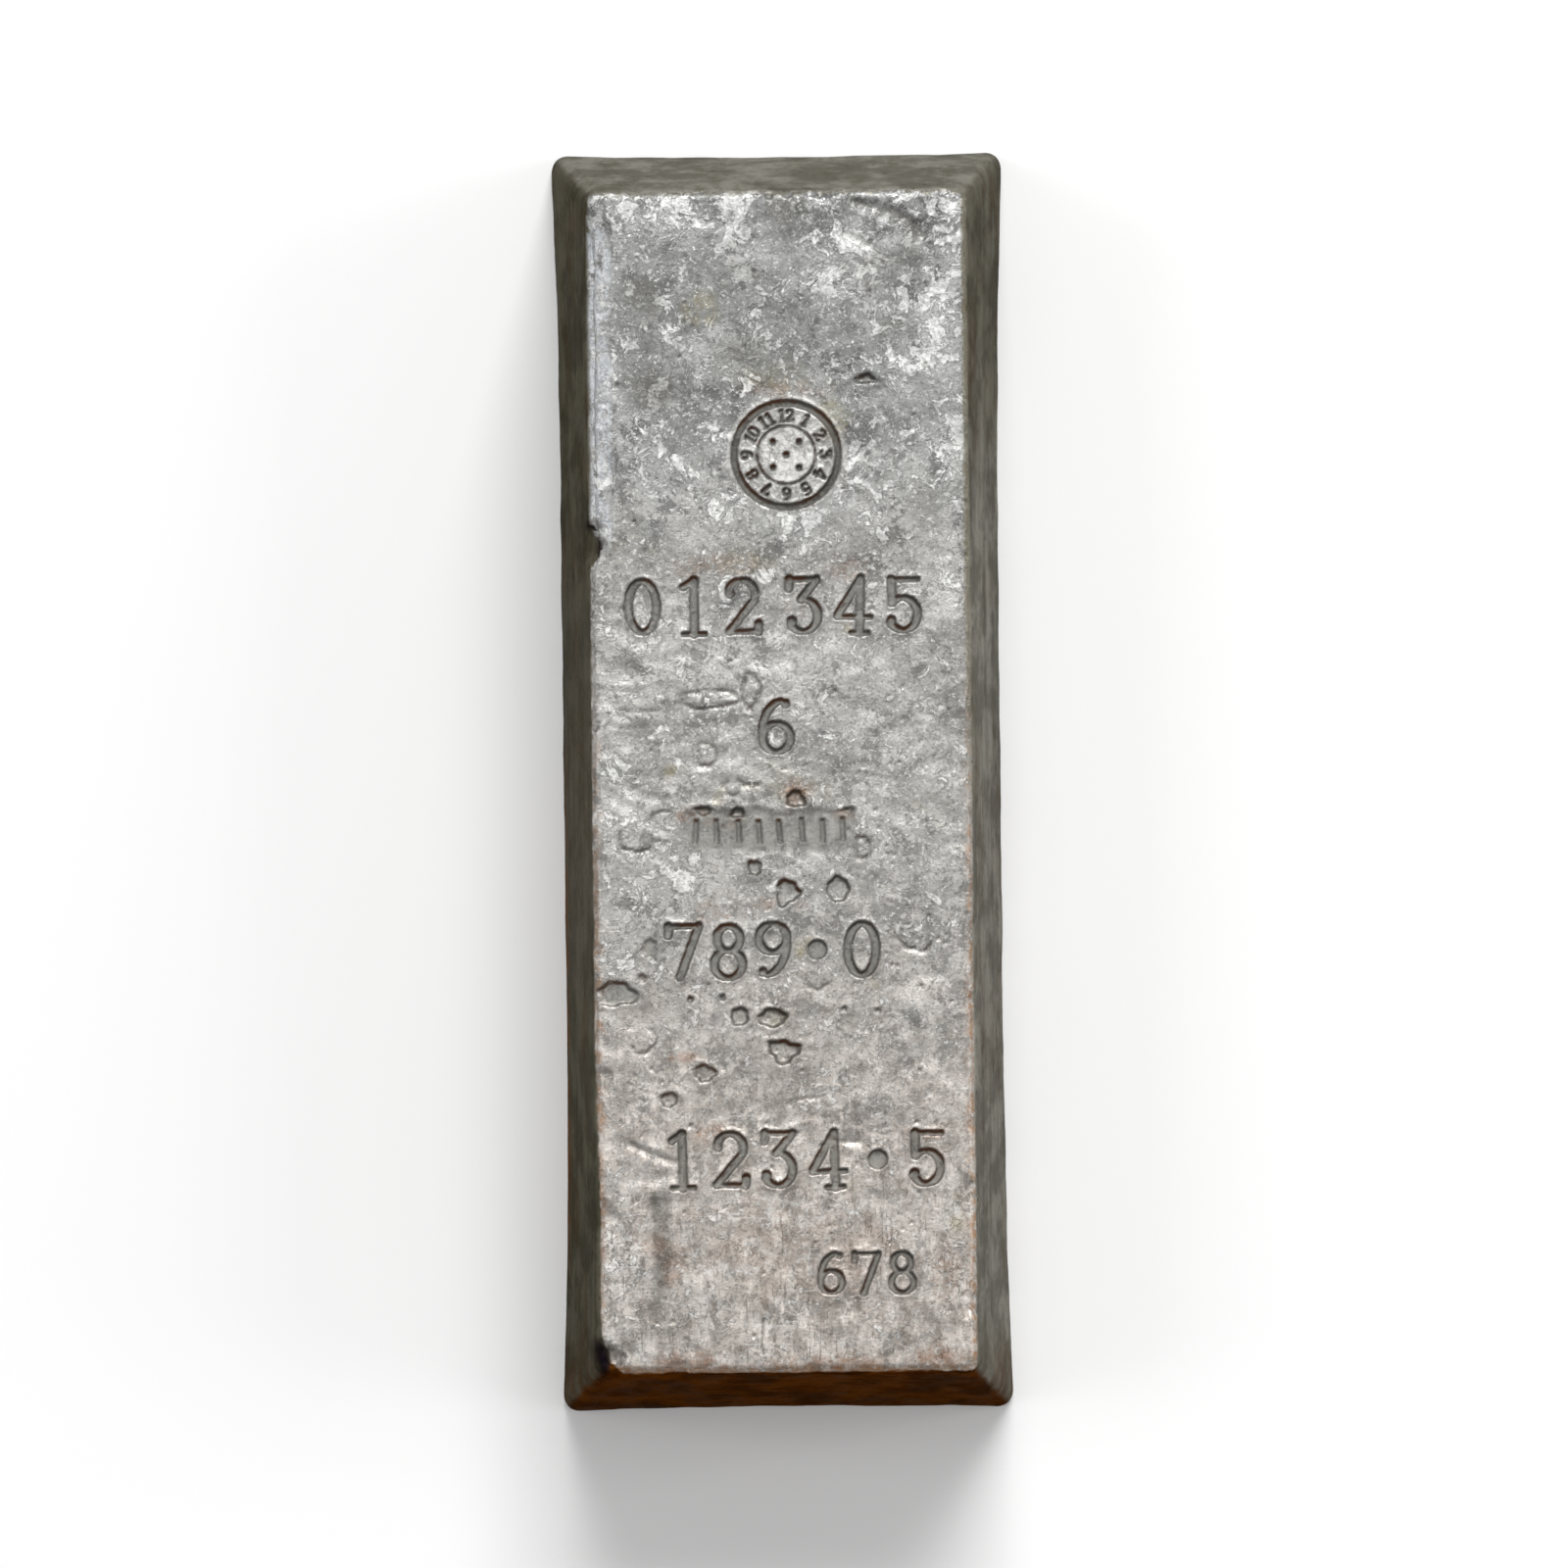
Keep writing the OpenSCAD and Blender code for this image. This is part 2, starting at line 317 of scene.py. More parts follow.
# Pits with a flat floor: middle, half sizes, depth, and their outline's corners, how
# angular it is and which way one corner points, in degrees.
PITS = [
    ((1.0, -28.6), (3.8, 3.8), 1.1, (3, 0.7, 0)),
    ((14.1, -27.9), (3.5, 3.5), 1.0, (5, 0.5, 90)),
    ((3.5, -4.6), (3.0, 2.6), 1.4, (3, 0.6, 90)),
    ((-20.3, -7.4), (2.6, 1.5), 1.5, (3, 0.5, -90)),
    ((-11.5, -8.0), (2.2, 1.7), 1.5, (3, 0.6, 90)),
    ((17.0, -7.6), (2.0, 1.0), 0.9, (3, 0.4, 60)),
    ((-11.5, -60.5), (2.6, 2.5), 1.1, (4, 0.2, 45)),
    ((-3.1, -60.9), (4.1, 2.5), 1.5, (4, 0.2, 20)),
    ((-0.2, -69.5), (4.8, 3.4), 1.5, (3, 0.8, -100)),
    ((-29.9, -81.8), (2.5, 2.3), 0.7, (3, 0.3, 150)),
    ((-43.4, -54.5), (6.2, 3.8), 0.8, (3, 0.5, -20)),
    ((-7.3, -22.2), (2.1, 2.4), 1.0, (3, 0.4, -90)),
    ((-20.6, -75.0), (3.4, 2.6), 0.8, (3, 0.5, 10)),
    ((-24.2, -56.0), (1.0, 1.0), 0.9, (3, 0.3, 0)),
    ((-16.0, -55.6), (1.1, 1.0), 0.9, (3, 0.3, 60)),
    ((15.5, -58.8), (0.9, 0.8), 0.8, (3, 0.3, 60)),
    ((24.2, -59.4), (1.3, 0.9), 0.6, (3, 0.3, 160)),
    ((22.5, 103.5), (3.6, 1.6), 1.0, (3, 0.7, -150)),
    ((-34.5, -43.0), (2.6, 3.2), 0.5, (3, 0.5, -60)),
    ((-36.5, -50.5), (1.6, 1.3), 0.6, (3, 0.4, 0)),
]

# Blisters, drawn by a thin crease round a low dome: middle, half sizes, crease
# depth, dome, which way the crease is open and how widely, seed.
BLISTERS = [
    ((-37.5, -13.4), (4.6, 5.0), 0.5, 0.25, 80, 0.5, 21),
    ((-30.7, -9.6), (3.0, 2.2), 0.35, 0.1, -60, 0.7, 22),
    ((-31.5, -16.4), (1.9, 1.5), 0.4, 0.1, -90, 0.9, 23),
    ((20.5, -17.4), (2.1, 2.9), 0.6, -0.2, 0, 0, 24),
    ((-36.8, -66.1), (3.6, 4.0), 0.4, 0.1, 130, 0.4, 25),
    ((11.7, -65.3), (4.4, 4.0), 0.4, 0.1, -120, 1.2, 26),
    ((-18.3, 21.3), (7.8, 2.4), 0.32, 0.5, 0, 0, 27),
    ((-7.9, 23.3), (2.4, 4.6), 0.5, 0.35, 0, 0, 28),
    ((-19.4, 7.0), (2.6, 3.3), 0.4, 0.15, 0, 0, 29),
    ((-8.3, 1.4), (3.2, 2.6), 0.4, 0.1, 80, 0.8, 30),
    ((9.0, -49.5), (3.6, 4.6), 0.35, 0.1, 100, 0.9, 31),
    ((34.2, -40.3), (4.4, 4.0), 0.6, -0.1, 60, 0.5, 32),
    ((33.4, -41.6), (2.2, 1.8), 0.3, -0.2, 120, 0.4, 33),
    ((-40.5, 25.0), (4.6, 1.6), 0.12, 0.12, 80, 0.7, 34),
    ((-37.0, 20.0), (6.0, 1.9), 0.16, 0.16, 100, 0.9, 35),
    ((-39.5, 15.5), (4.8, 1.6), 0.12, 0.14, 85, 0.7, 36),
    ((-32.5, 11.0), (3.4, 1.5), 0.14, 0.10, 95, 0.9, 37),
    ((-12.5, -1.5), (2.4, 2.0), 0.4, 0.1, 40, 0.4, 38),
]

# Scores and creases in the face: from, to, width, depth, share of dirt in them.
SCORES = [
    ((-32.4, -107), (-32.2, -140), 4.8, 0.6, 1.0),
    ((-20.5, -129), (-19.8, -139), 0.5, 0.35, 0.5),
    ((-6.4, -138), (-6.2, -151), 0.8, 0.45, 1.0),
    ((40.5, 27), (40.8, 2), 0.5, 0.25, 0.3),
    ((42.6, 25), (42.8, 4), 0.5, 0.2, 0.3),
    ((19, 149.5), (27, 147.5), 2.8, 0.9, 0.7),
    ((27, 147.5), (35, 144), 3.6, 1.1, 0.7),
    ((35, 144), (38.5, 139.5), 2.8, 0.8, 0.7),
    ((17, 141.5), (26, 137.5), 1.8, 0.5, 0.5),
    ((-28, -98.5), (-41, -93), 1.6, 0.5, 0.2),
    ((-27, -101.5), (-42, -102.5), 2.2, 0.25, 0.0),
    ((0, -83.5), (14, -80.5), 1.3, 0.35, 0.2),
    ((10, -92.5), (20, -93.5), 1.2, 0.35, 0.2),
]

# A notch in the left edge, where the face's bright skin is gone: middle, half sizes.
NOTCH = (-50.2, 61.5), (4.6, 5.8)

# The strip worn off the left edge: where it starts, its width, depth, and where its two
# ends fade in and out.
WORN_X, WORN_W, WORN_DEPTH = -42.4, 6, 1.6
WORN_NEAR, WORN_FAR = (56, 66), (150, 132)

# Seeded scatters, on the face and along its edges.
SMALL_PITS, SMALL_KNOCKS = 260, 40

# Knocks at the edge of the face: middle, reach, depth.
KNOCKS = [
    ((-50.0, 61.5), 6.0, 2.6),
    ((-46.0, -149.0), 5.0, 2.6),
    ((-47.6, -77.4), 5.0, 1.1),
    ((-48.0, -112.0), 5.5, 0.7),
    ((48.2, 88.0), 5.0, 0.6),
    ((47.6, -135.0), 4.5, 1.0),
    ((46.0, 151.0), 4.5, 1.0),
    ((-28.0, -153.0), 4.5, 1.3),
    ((12.0, 153.5), 5.0, 0.8),
]


def lumpy_distance(x, y, middle, halves, shape, seed):
    """Signed distance in mm to a lumpy oval, and the direction from its middle."""
    u, v = (x - middle[0]) / halves[0], (y - middle[1]) / halves[1]
    turn = np.arctan2(v, u)
    corners, sharp, toward = shape
    sides = [math.radians(toward + 360 * (k + 0.5) / corners) for k in range(corners)]
    flat = np.log(sum(np.exp(6 * (u * math.cos(a) + v * math.sin(a))) for a in sides)) / 6
    rng = np.random.default_rng(seed)
    wobble = sum(0.04 * np.cos(k * turn + rng.uniform(0, 6.3)) for k in (2, 4, 7))
    oval = np.hypot(u, v) - 1
    angular = (flat - 1.15 * math.cos(math.pi / corners)) * (1 - sharp) + (flat - 0.72) * sharp
    return (oval + sharp * (angular - oval) - wobble) * min(halves), turn


def pits(x, y):
    """Height, hollow and crease shade of the named pits, and of a seeded scatter of small ones.
    The crease shade is painted shade along a pit's wall.
    """
    height, hollow, outline = (np.zeros(x.shape) for _ in range(3))
    rng = np.random.default_rng(77)
    small = []
    for _ in range(SMALL_PITS):
        r = rng.uniform(0.35, 0.8)
        at = rng.uniform(-0.95, 0.95) * FACE_HALF_W, rng.uniform(-0.97, 0.97) * FACE_HALF_L
        small.append((at, (r, r * rng.uniform(0.7, 1.3)), rng.uniform(0.2, 0.5), (3, 0.3, 0)))
    for seed, (middle, halves, depth, shape) in enumerate(PITS + small):
        at = within(x, y, middle, 2 * max(halves) + 1)
        d, _ = lumpy_distance(x[at], y[at], middle, halves, shape, seed)
        sunk = smooth(0.1, -0.8, d)
        height[at] += 0.12 * bell(d - 0.5, 0.6) * min(1, depth) - depth * sunk
        hollow[at] = np.maximum(hollow[at], sunk)
        outline[at] = np.maximum(outline[at], bell(d + 0.25, 0.5) * min(1, depth))
    return height, hollow, outline


def blisters(x, y):
    """Height of the blisters, and their crease shade: painted shade along each crease."""
    height, outline = np.zeros(x.shape), np.zeros(x.shape)
    for middle, halves, crease, dome, open_at, gap, seed in BLISTERS:
        at = within(x, y, middle, 2 * max(halves) + 2)
        d, turn = lumpy_distance(x[at], y[at], middle, halves, (3, 0.25, open_at), seed)
        kept = smooth(gap * 1.4 - 1, gap * 1.4 - 0.5, -np.cos(turn - math.radians(open_at)))
        kept = kept if gap else 1.0
        line = bell(d, 0.5) * kept
        height[at] += 0.8 * dome * smooth(0.3, -1.5, d) - 0.6 * crease * line
        outline[at] = np.maximum(outline[at], line * crease * 2.4)
    return height, outline


def scores(x, y):
    """Height of the scores, and the share of dirt held in them."""
    height, dirt = np.zeros(x.shape), np.zeros(x.shape)
    waver = 0.9 * noise(x, y, 7, 41)
    for (x0, y0), (x1, y1), w, depth, dirty in SCORES:
        run = np.array([x1 - x0, y1 - y0])
        t = np.clip(((x - x0) * run[0] + (y - y0) * run[1]) / (run @ run), 0, 1)
        d = np.hypot(x - x0 - t * run[0] + waver, y - y0 - t * run[1] - waver)
        height -= depth * bell(d, w / 1.7) * (1 - (2 * t - 1) ** 4) ** 0.5
        np.maximum(dirt, dirty * smooth(0.62 * w, 0.42 * w, d), out=dirt)
    return height, dirt


def small_knocks():
    """A seeded scatter of little knocks along the edges of the face."""
    rng = np.random.default_rng(91)
    for _ in range(SMALL_KNOCKS):
        t, side = rng.uniform(-1, 1), rng.choice([-1, 1])
        at = (t * FACE_HALF_W, side * (FACE_HALF_L + 1.5))
        if rng.random() < 0.6:
            at = (side * (FACE_HALF_W + 1.5), t * FACE_HALF_L)
        yield at, rng.uniform(1.0, 2.4), rng.uniform(0.15, 0.5)


def knocks(x, y):
    """Height of the named and the small knocks."""
    height = np.zeros(x.shape)
    ragged = 1.2 * noise(x, y, 3.5, 43)
    for middle, reach, depth in [*KNOCKS, *small_knocks()]:
        at = within(x, y, middle, reach + 2)
        d = np.hypot(x[at] - middle[0], y[at] - middle[1]) + ragged[at]
        height[at] -= depth * smooth(reach, reach * 0.25, d)
    return height


# ---- The face's skin ----

def folds(x, y):
    """Wrinkles that the cooling skin left, about the middle of the face and lower down."""
    where = smooth(62, 40, y) * smooth(-45, -5, y) + 0.35 * smooth(-60, -90, y)
    where += 0.7 * smooth(-56, -68, y) * smooth(-104, -90, y)
    warp_x, warp_y = 4 * noise(x, y, 16, 11), 4 * noise(x, y, 16, 12)
    across = 0.15 * (x + warp_x) + (y + warp_y)
    along = (x + warp_x) - 0.15 * (y + warp_y)
    crest = 1 - np.abs(noise(along * 0.5, across, 6, 13))
    return 0.28 * where * (crest - 0.8)


def skin(x, y):
    """Slow swells, orange peel and grain."""
    swell = 0.26 * noise(x, y, 34, 1) + 0.20 * noise(x, y, 13, 2)
    peel = 0.12 * noise(x, y, 6, 3) + 0.05 * noise(x, y, 2.6, 4)
    rough = frost(x, y) * (0.05 * noise(x, y, 1.9, 5) + 0.08 * noise(x, y, 4.2, 6))
    return swell + peel + rough


def frost(x, y):
    """Where the skin is rough and frosted: the far end, and patches elsewhere."""
    patch = noise(x, y, 22, 15) + 0.5 * noise(x, y, 8, 16)
    return np.clip(smooth(30, 110, y) * 0.9 + 0.3 * smooth(0.1, 0.6, patch), 0, 1)


def face_relief(x, y):
    """Height against the true face, in mm, with the hollow share and the crease shade share:
    painted shade at the walls of marks, pits and blisters.
    """
    marks = Marks(x, y)
    strike_rows(marks)
    strike_ring(marks)
    strike_panel(marks)
    firm = 1 + 0.22 * noise(x, y, 14, 51)
    ragged = 0.12 * noise(x, y, 1.6, 52)
    d, panel_d = marks.distance + ragged, marks.panel + 2 * ragged
    struck = smooth(0, -STRIKE_SLOPE, d)
    panel = smooth(1.0, -1.6, panel_d + 0.9 * noise(x, y, 5, 53))
    pit_height, pit_hollow, pit_outline = pits(x, y)
    blister_height, blister_outline = blisters(x, y)
    flat = 1 - 0.6 * struck - 0.4 * panel * (1 - struck)
    height = (skin(x, y) + folds(x, y)) * flat + pit_height + blister_height + scores(x, y)[0]
    height += 0.14 * bell(d - 0.35, 0.5) - STRIKE_DEPTH * firm * struck * (1 - 0.45 * panel)
    cy = place(PANEL_PLACE)[1]
    height -= PANEL_DEPTH * panel * (0.3 + 0.7 * smooth(-PANEL_W / 2, PANEL_W / 2 - 3, y - cy))
    height += knocks(x, y) - WORN_DEPTH * worn_side(x, y) - FACE_SETBACK
    hollow = np.maximum.reduce([struck, 0.8 * panel, 0.4 * pit_hollow])
    # Painted shade in the creases: a dark line at the walls of the marks, pits and blisters, and
    # faintly round the panel.
    outline = np.maximum.reduce([bell(d + 0.2, 0.5), 0.12 * bell(panel_d + 0.3, 0.8),
                                 pit_outline, blister_outline])
    return np.minimum(height, 0), hollow, np.clip(outline, 0, 1)


def worn_side(x, y):
    """How worn the left edge of the far half is: 0 up to WORN_X, past 1 at the edge."""
    ends = smooth(*WORN_NEAR, y) * smooth(*WORN_FAR, y)
    ragged = 1.1 * noise(x, y, 11, 55) + 0.6 * noise(x, y, 3, 56)
    return np.clip((WORN_X - x - ragged) / WORN_W, 0, 1.3) * ends


def wall_relief(x, y, z, side):
    """Slow waves and laps of the cast walls. side is 1 on the long sides, 0 on the ends."""
    def sheet(along):
        waves = 0.30 * noise(along, z, 45, 64) + 0.16 * noise(along, z / 2.5, 11, 61)
        grain = 0.12 * noise(along / 3.5, z, 6, 66) + 0.05 * noise(along, z / 2, 3, 62)
        rim = 0.3 * noise(along, 0 * z, 8, 65) * smooth(76, 88, z)
        return waves + grain + rim

    low = smooth(80, 10, z)
    bow = np.where(x < 0, 0.6 * bell(y + 100, 50) + 0.1, 0.25 * bell(y - 55, 50)) * low
    return side * (sheet(y) - bow) + (1 - side) * sheet(x + 300) - 0.12


def base_relief(x, y):
    """The sunk, rippled middle of the resting face. Its rim stays flat."""
    inside = np.minimum(HALF_W - np.abs(x), HALF_L - np.abs(y))
    ripple = 0.12 * np.cos(inside * 0.55 + 2 * noise(x, y, 40, 71)) + 0.1 * noise(x, y, 9, 72)
    return -smooth(5, 18, inside) * (0.5 + ripple)


# ---- The shell ----

def sunk(half, sink, t):
    """Half a width or length, sunk most in the middle of its wall, where t is 0."""
    return half - sink * (1 - np.abs(t) ** SINK_POWER)


def outline_points(a, b, z, held):
    """Points of the block at height z for places a, b in -1..1, held in by an edge's curve."""
    up = z / TOP
    half_w = HALF_W + (BASE_EDGE_R - z) * SIDE_LEAN
    half_l = HALF_L + (BASE_EDGE_R - z) * END_LEAN
    half_w = sunk(half_w, SIDE_SINK * (1 - up), b) - held
    half_l = sunk(half_l, END_SINK * (1 - up), a) - held
    r = BASE_CORNER_R + (FACE_CORNER_R - BASE_CORNER_R) * up - held
    x, y = np.abs(a) * half_w, np.abs(b) * half_l
    p = np.clip((x - half_w + r) / r, 0, None)
    q = np.clip((y - half_l + r) / r, 0, None)
    x = np.where(q > 0, np.where(p > 0, half_w - r + r * p * np.sqrt(1 - q * q / 2), x), x)
    y = np.where(p > 0, np.where(q > 0, half_l - r + r * q * np.sqrt(1 - p * p / 2), y), y)
    return np.stack([np.sign(a) * x, np.sign(b) * y, np.full(x.shape, z)], -1)


def wall_profile():
    """(height, held in, is the ring halved) from the face's edge down to the base."""
    quarter = np.radians(np.linspace(90, 0, EDGE_STEPS + 1))[1:]
    levels = [(TOP - FACE_EDGE_R * (1 - math.sin(a)), FACE_EDGE_R * (1 - math.cos(a)), False)
              for a in quarter]
    drop = TOP - FACE_EDGE_R - BASE_EDGE_R
    steps = round(drop / WALL_STEP)
    levels += [(TOP - FACE_EDGE_R - drop * i / steps, 0, i == 1) for i in range(1, steps + 1)]
    quarter = np.radians(np.linspace(0, 90, BASE_EDGE_STEPS + 1))[1:]
    levels += [(BASE_EDGE_R * (1 - math.sin(a)), BASE_EDGE_R * (1 - math.cos(a)), False)
               for a in quarter]
    return levels


def grid_faces(index):
    """Two triangles for each cell of a grid of vertex numbers."""
    a, b, c, d = index[:-1, :-1], index[1:, :-1], index[1:, 1:], index[:-1, 1:]
    return np.concatenate([np.stack([a, b, c], -1).reshape(-1, 3),
                           np.stack([a, c, d], -1).reshape(-1, 3)])


def perimeter(grid):
    """The border of a grid [along a, along b], anticlockwise from its low corner."""
    return np.concatenate([grid[:-1, 0], grid[-1, :-1], grid[:0:-1, -1], grid[0, :0:-1]])


def ring_faces(upper, lower):
    """Faces between two rings; the lower one has as many points as the upper, or half."""
    if len(upper) == len(lower):
        u, v = np.append(upper, upper[0]), np.append(lower, lower[0])
        return np.concatenate([np.stack([u[:-1], v[:-1], u[1:]], -1),
                               np.stack([u[1:], v[:-1], v[1:]], -1)])
    u0, u1, u2 = upper[0::2], upper[1::2], np.roll(upper, -2)[0::2]
    v0, v1 = lower, np.roll(lower, -1)
    return np.concatenate([np.stack([u0, v0, u1], -1), np.stack([u1, v0, v1], -1),
                           np.stack([u1, v1, u2], -1)])


def shell():
    """The smooth block as points and triangles: fine on the face, coarser below."""
    nx, ny = (BASE_STRIDE * round(2 * half / FACE_STEP / BASE_STRIDE)
              for half in (FACE_HALF_W, FACE_HALF_L))
    a, b = np.meshgrid(np.linspace(-1, 1, nx + 1), np.linspace(-1, 1, ny + 1), indexing="ij")
    points = [outline_points(a, b, TOP, FACE_EDGE_R).reshape(-1, 3)]
    count = len(points[0])
    grid = np.arange(count).reshape(a.shape)
    faces = [grid_faces(grid)]
    ring, ring_a, ring_b = perimeter(grid), perimeter(a), perimeter(b)
    for z, held, halve in wall_profile():
        if halve:
            ring_a, ring_b = ring_a[::2], ring_b[::2]
        points.append(outline_points(ring_a, ring_b, z, held))
        lower = np.arange(count, count + len(ring_a))
        count += len(ring_a)
        faces.append(ring_faces(ring, lower))
        ring = lower
    a, b = a[::BASE_STRIDE, ::BASE_STRIDE], b[::BASE_STRIDE, ::BASE_STRIDE]
    points.append(outline_points(a, b, 0.0, BASE_EDGE_R + BASE_INSET).reshape(-1, 3))
    grid = np.arange(count, count + a.size).reshape(a.shape)
    faces.append(ring_faces(ring, perimeter(grid)))
    faces.append(grid_faces(grid)[:, ::-1])
    return np.concatenate(points), np.concatenate(faces)


def point_normals(points, faces):
    """The unit normal at each point, from the faces round it."""
    corner = points[faces]
    face_normal = np.cross(corner[:, 1] - corner[:, 0], corner[:, 2] - corner[:, 0])
    total = np.zeros(points.shape)
    for i in range(3):
        np.add.at(total, faces[:, i], face_normal)
    return total / np.linalg.norm(total, axis=1, keepdims=True)


def cast_points(points, normals):
    """Pushes the relief of the casting into the smooth block."""
    x, y, z = points.T
    face = smooth(TOP - FACE_EDGE_R * 1.6, TOP - FACE_EDGE_R * 0.5, z)
    base = smooth(BASE_EDGE_R, 0.1, z)
    depth = np.zeros(len(points))
    at = face > 0
    depth[at] += face[at] * face_relief(x[at], y[at])[0]
    at = (face < 1) & (base < 1)
    side = normals[at, 0] ** 2 / (normals[at, 0] ** 2 + normals[at, 1] ** 2)
    knocked = 0.5 * knocks(x[at], y[at]) * smooth(70, 90, z[at])
    wall = wall_relief(x[at], y[at], z[at], side) + knocked
    depth[at] += (1 - face[at]) * (1 - base[at]) * np.minimum(wall, 0)
    at = base > 0
    depth[at] += base[at] * base_relief(x[at], y[at])
    return points + normals * depth[:, None]


# ---- Blender meshes ----

def add_object(name, data):
    """A new object in the scene."""
    made = bpy.data.objects.new(name, data)
    bpy.context.scene.collection.objects.link(made)
    return made


def mesh_object(name, points, faces):
    """An object from points in millimetres and the triangles between them."""
    mesh = bpy.data.meshes.new(name)
    mesh.vertices.add(len(points))
    mesh.vertices.foreach_set("co", (points * MM).ravel())
    mesh.loops.add(faces.size)
    mesh.loops.foreach_set("vertex_index", faces.ravel())
    mesh.polygons.add(len(faces))
    mesh.polygons.foreach_set("loop_start", np.arange(0, faces.size, 3))
    mesh.update(calc_edges=True)
    mesh.validate()
    return add_object(name, mesh)


def thin(dense, name, most):
    """Collapses the triangles that carry least shape until at most this many are left."""
    cut = dense.modifiers.new("thin", "DECIMATE")
    cut.ratio = most / len(dense.data.polygons)
    seen = dense.evaluated_get(bpy.context.evaluated_depsgraph_get())
    mesh = bpy.data.meshes.new_from_object(seen)
    mesh.name = name
    co = np.zeros(len(mesh.vertices) * 3, np.float32)
    mesh.vertices.foreach_get("co", co)
    co[2::3] = np.clip(co[2::3], 0, (TOP - CLEAR_OF_TOP) * MM)
    mesh.vertices.foreach_set("co", co)
    old = dense.data
    made = add_object(name, mesh)
    bpy.data.objects.remove(dense)
    bpy.data.meshes.remove(old)
    mesh.polygons.foreach_set("use_smooth", np.ones(len(mesh.polygons), bool))
    return made


# Where the face is stained, and, for some pale patches along its edges, where a highlight is
# painted: middle, half sizes, strength.
STAINS = {
    "warm": [
        ((1.5, 101), (11, 3), 0.4), ((-17, 56), (14, 3), 0.4), ((16, 55), (8, 3), 0.4),
        ((4, 46), (2.5, 6), 0.3), ((3.5, -3), (4, 3), 0.9), ((-22, -9), (5, 2.5), 1.0),
        ((-12, -10), (3, 2.5), 1.0), ((16, -9), (3, 2), 0.7), ((-16, -34), (8, 2.5), 0.5),
        ((-2, -32), (6, 2), 0.5), ((-26, -71), (4, 1.3), 1.0), ((-20, -91), (4, 2.5), 0.9),
        ((36, -91), (5, 2), 0.7), ((-26, -149), (9, 2.2), 1.0), ((12, -150), (16, 2), 0.9),
        ((37, -149), (8, 3), 0.9), ((-36, -118), (5, 6), 0.4), ((-29, -125), (3, 8), 0.5),
        ((0, -152), (50, 2), 0.9),
        ((41, -127), (3, 10), 0.5), ((-48, -108), (1.5, 16), 0.7), ((0, -120), (30, 12), 0.25),
    ],
    "yellow": [
        ((-20, 122), (5, 4), 0.8), ((-1, 104), (13, 3.5), 0.5), ((14, 94), (4, 5), 0.8),
        ((-39, 60), (8, 4), 0.35), ((-9, 57), (9, 4), 0.45), ((16.6, 39.7), (1.8, 1.8), 1.0),
        ((-27, 3), (3.5, 2), 1.0), ((-16, -4), (2, 3), 0.6), ((1, -1), (12, 5), 0.4),
        ((5, -43), (2.8, 2.8), 0.9), ((23.5, -51.5), (1.2, 2.5), 0.9), ((-3, -61), (4, 2.5), 0.8),
        ((44, -112), (2, 6), 0.8), ((15, -104), (4, 1.5), 0.6), ((38, -7), (6, 5), 0.3),
    ],
    "dark": [
        ((-8, 111), (13, 5), 0.7), ((-35, 123), (6, 8), 0.7), ((-33, 101), (7, 6), 0.7),
        ((2, 147), (7, 5), 0.7), ((28, 134), (9, 4), 0.7), ((29, 116), (4, 5), 0.7),
        ((35, 138), (5, 5), 0.5), ((27, 127), (8, 5), 0.5), ((-40, 32), (7, 3), 0.5),
        ((-33, -41), (3, 5), 0.5), ((-43, -54), (6, 4), 0.7),
        ((-47.8, -148.5), (2.4, 4.5), 1.0), ((-48.2, 66.5), (2.6, 1.3), 1.0),
        ((-46, 61), (0.9, 4), 0.8), ((-3.3, -14), (21, 4.5), 0.55),
        ((15, -63), (4, 4), 0.4), ((-7, -73), (10, 6), 0.3), ((0, -84), (15, 4), 0.4),
        ((-12, 131), (8, 8), 0.5), ((3, 119), (14, 6), 0.4), ((26, 22), (16, 4), 0.3),
        ((30, 60), (12, 5), 0.35), ((24, -86), (10, 5), 0.3), ((-32, -140), (8, 8), 0.4),
    ],
    # Pale crust patches. Those along the face's left and right edges are partly painted
    # highlight, where the edges catch the light.
    "pale": [
        ((-42, 147), (8, 6), 1.0), ((-25, 145), (8, 5), 0.9), ((-11, 145), (4, 9), 0.9),
        ((-19, 113), (8, 6), 0.8), ((12, 128), (6, 12), 0.5), ((31, 139), (6, 2.5), 0.9),
        ((22, 133), (5, 13), 0.8), ((41, 120), (6, 15), 1.0), ((-45, 100), (3, 44), 1.0),
        ((44, 80), (3, 30), 0.6), ((-7, 34), (26, 5), 0.7), ((1, 68), (15, 6), 0.6),
        ((2, 84), (12, 12), 1.0), ((-41, -102), (7, 4), 0.7), ((42, -114), (4, 12), 0.8),
        ((-46, -145), (3, 6), 0.9), ((18, -12), (20, 8), 0.3), ((40, -30), (5, 40), 0.3),
        ((0, -110), (30, 4), 0.4), ((-30, 75), (12, 8), 0.4), ((-42, -15), (6, 34), 0.9),
        ((-34, -25), (10, 11), 1.0), ((-41, -125), (6, 26), 0.9), ((-20, -38), (22, 5), 0.4),
        ((-22, -126), (9, 16), 0.5), ((28, 84), (10, 15), 0.6),
    ],
}


def stain(x, y, kind):
    """The share, 0 to 1, that one kind of stain has at each point."""
    warp_x, warp_y = noise(x, y, 7, 85), noise(x, y, 7, 86)
    share = np.zeros(x.shape)
    for (cx, cy), (rx, ry), strength in STAINS[kind]:
        d = np.hypot((x - cx) / rx + 0.5 * warp_x, (y - cy) / ry + 0.5 * warp_y)
        np.maximum(share, strength * smooth(1.4, 0.4, d), out=share)
    return share


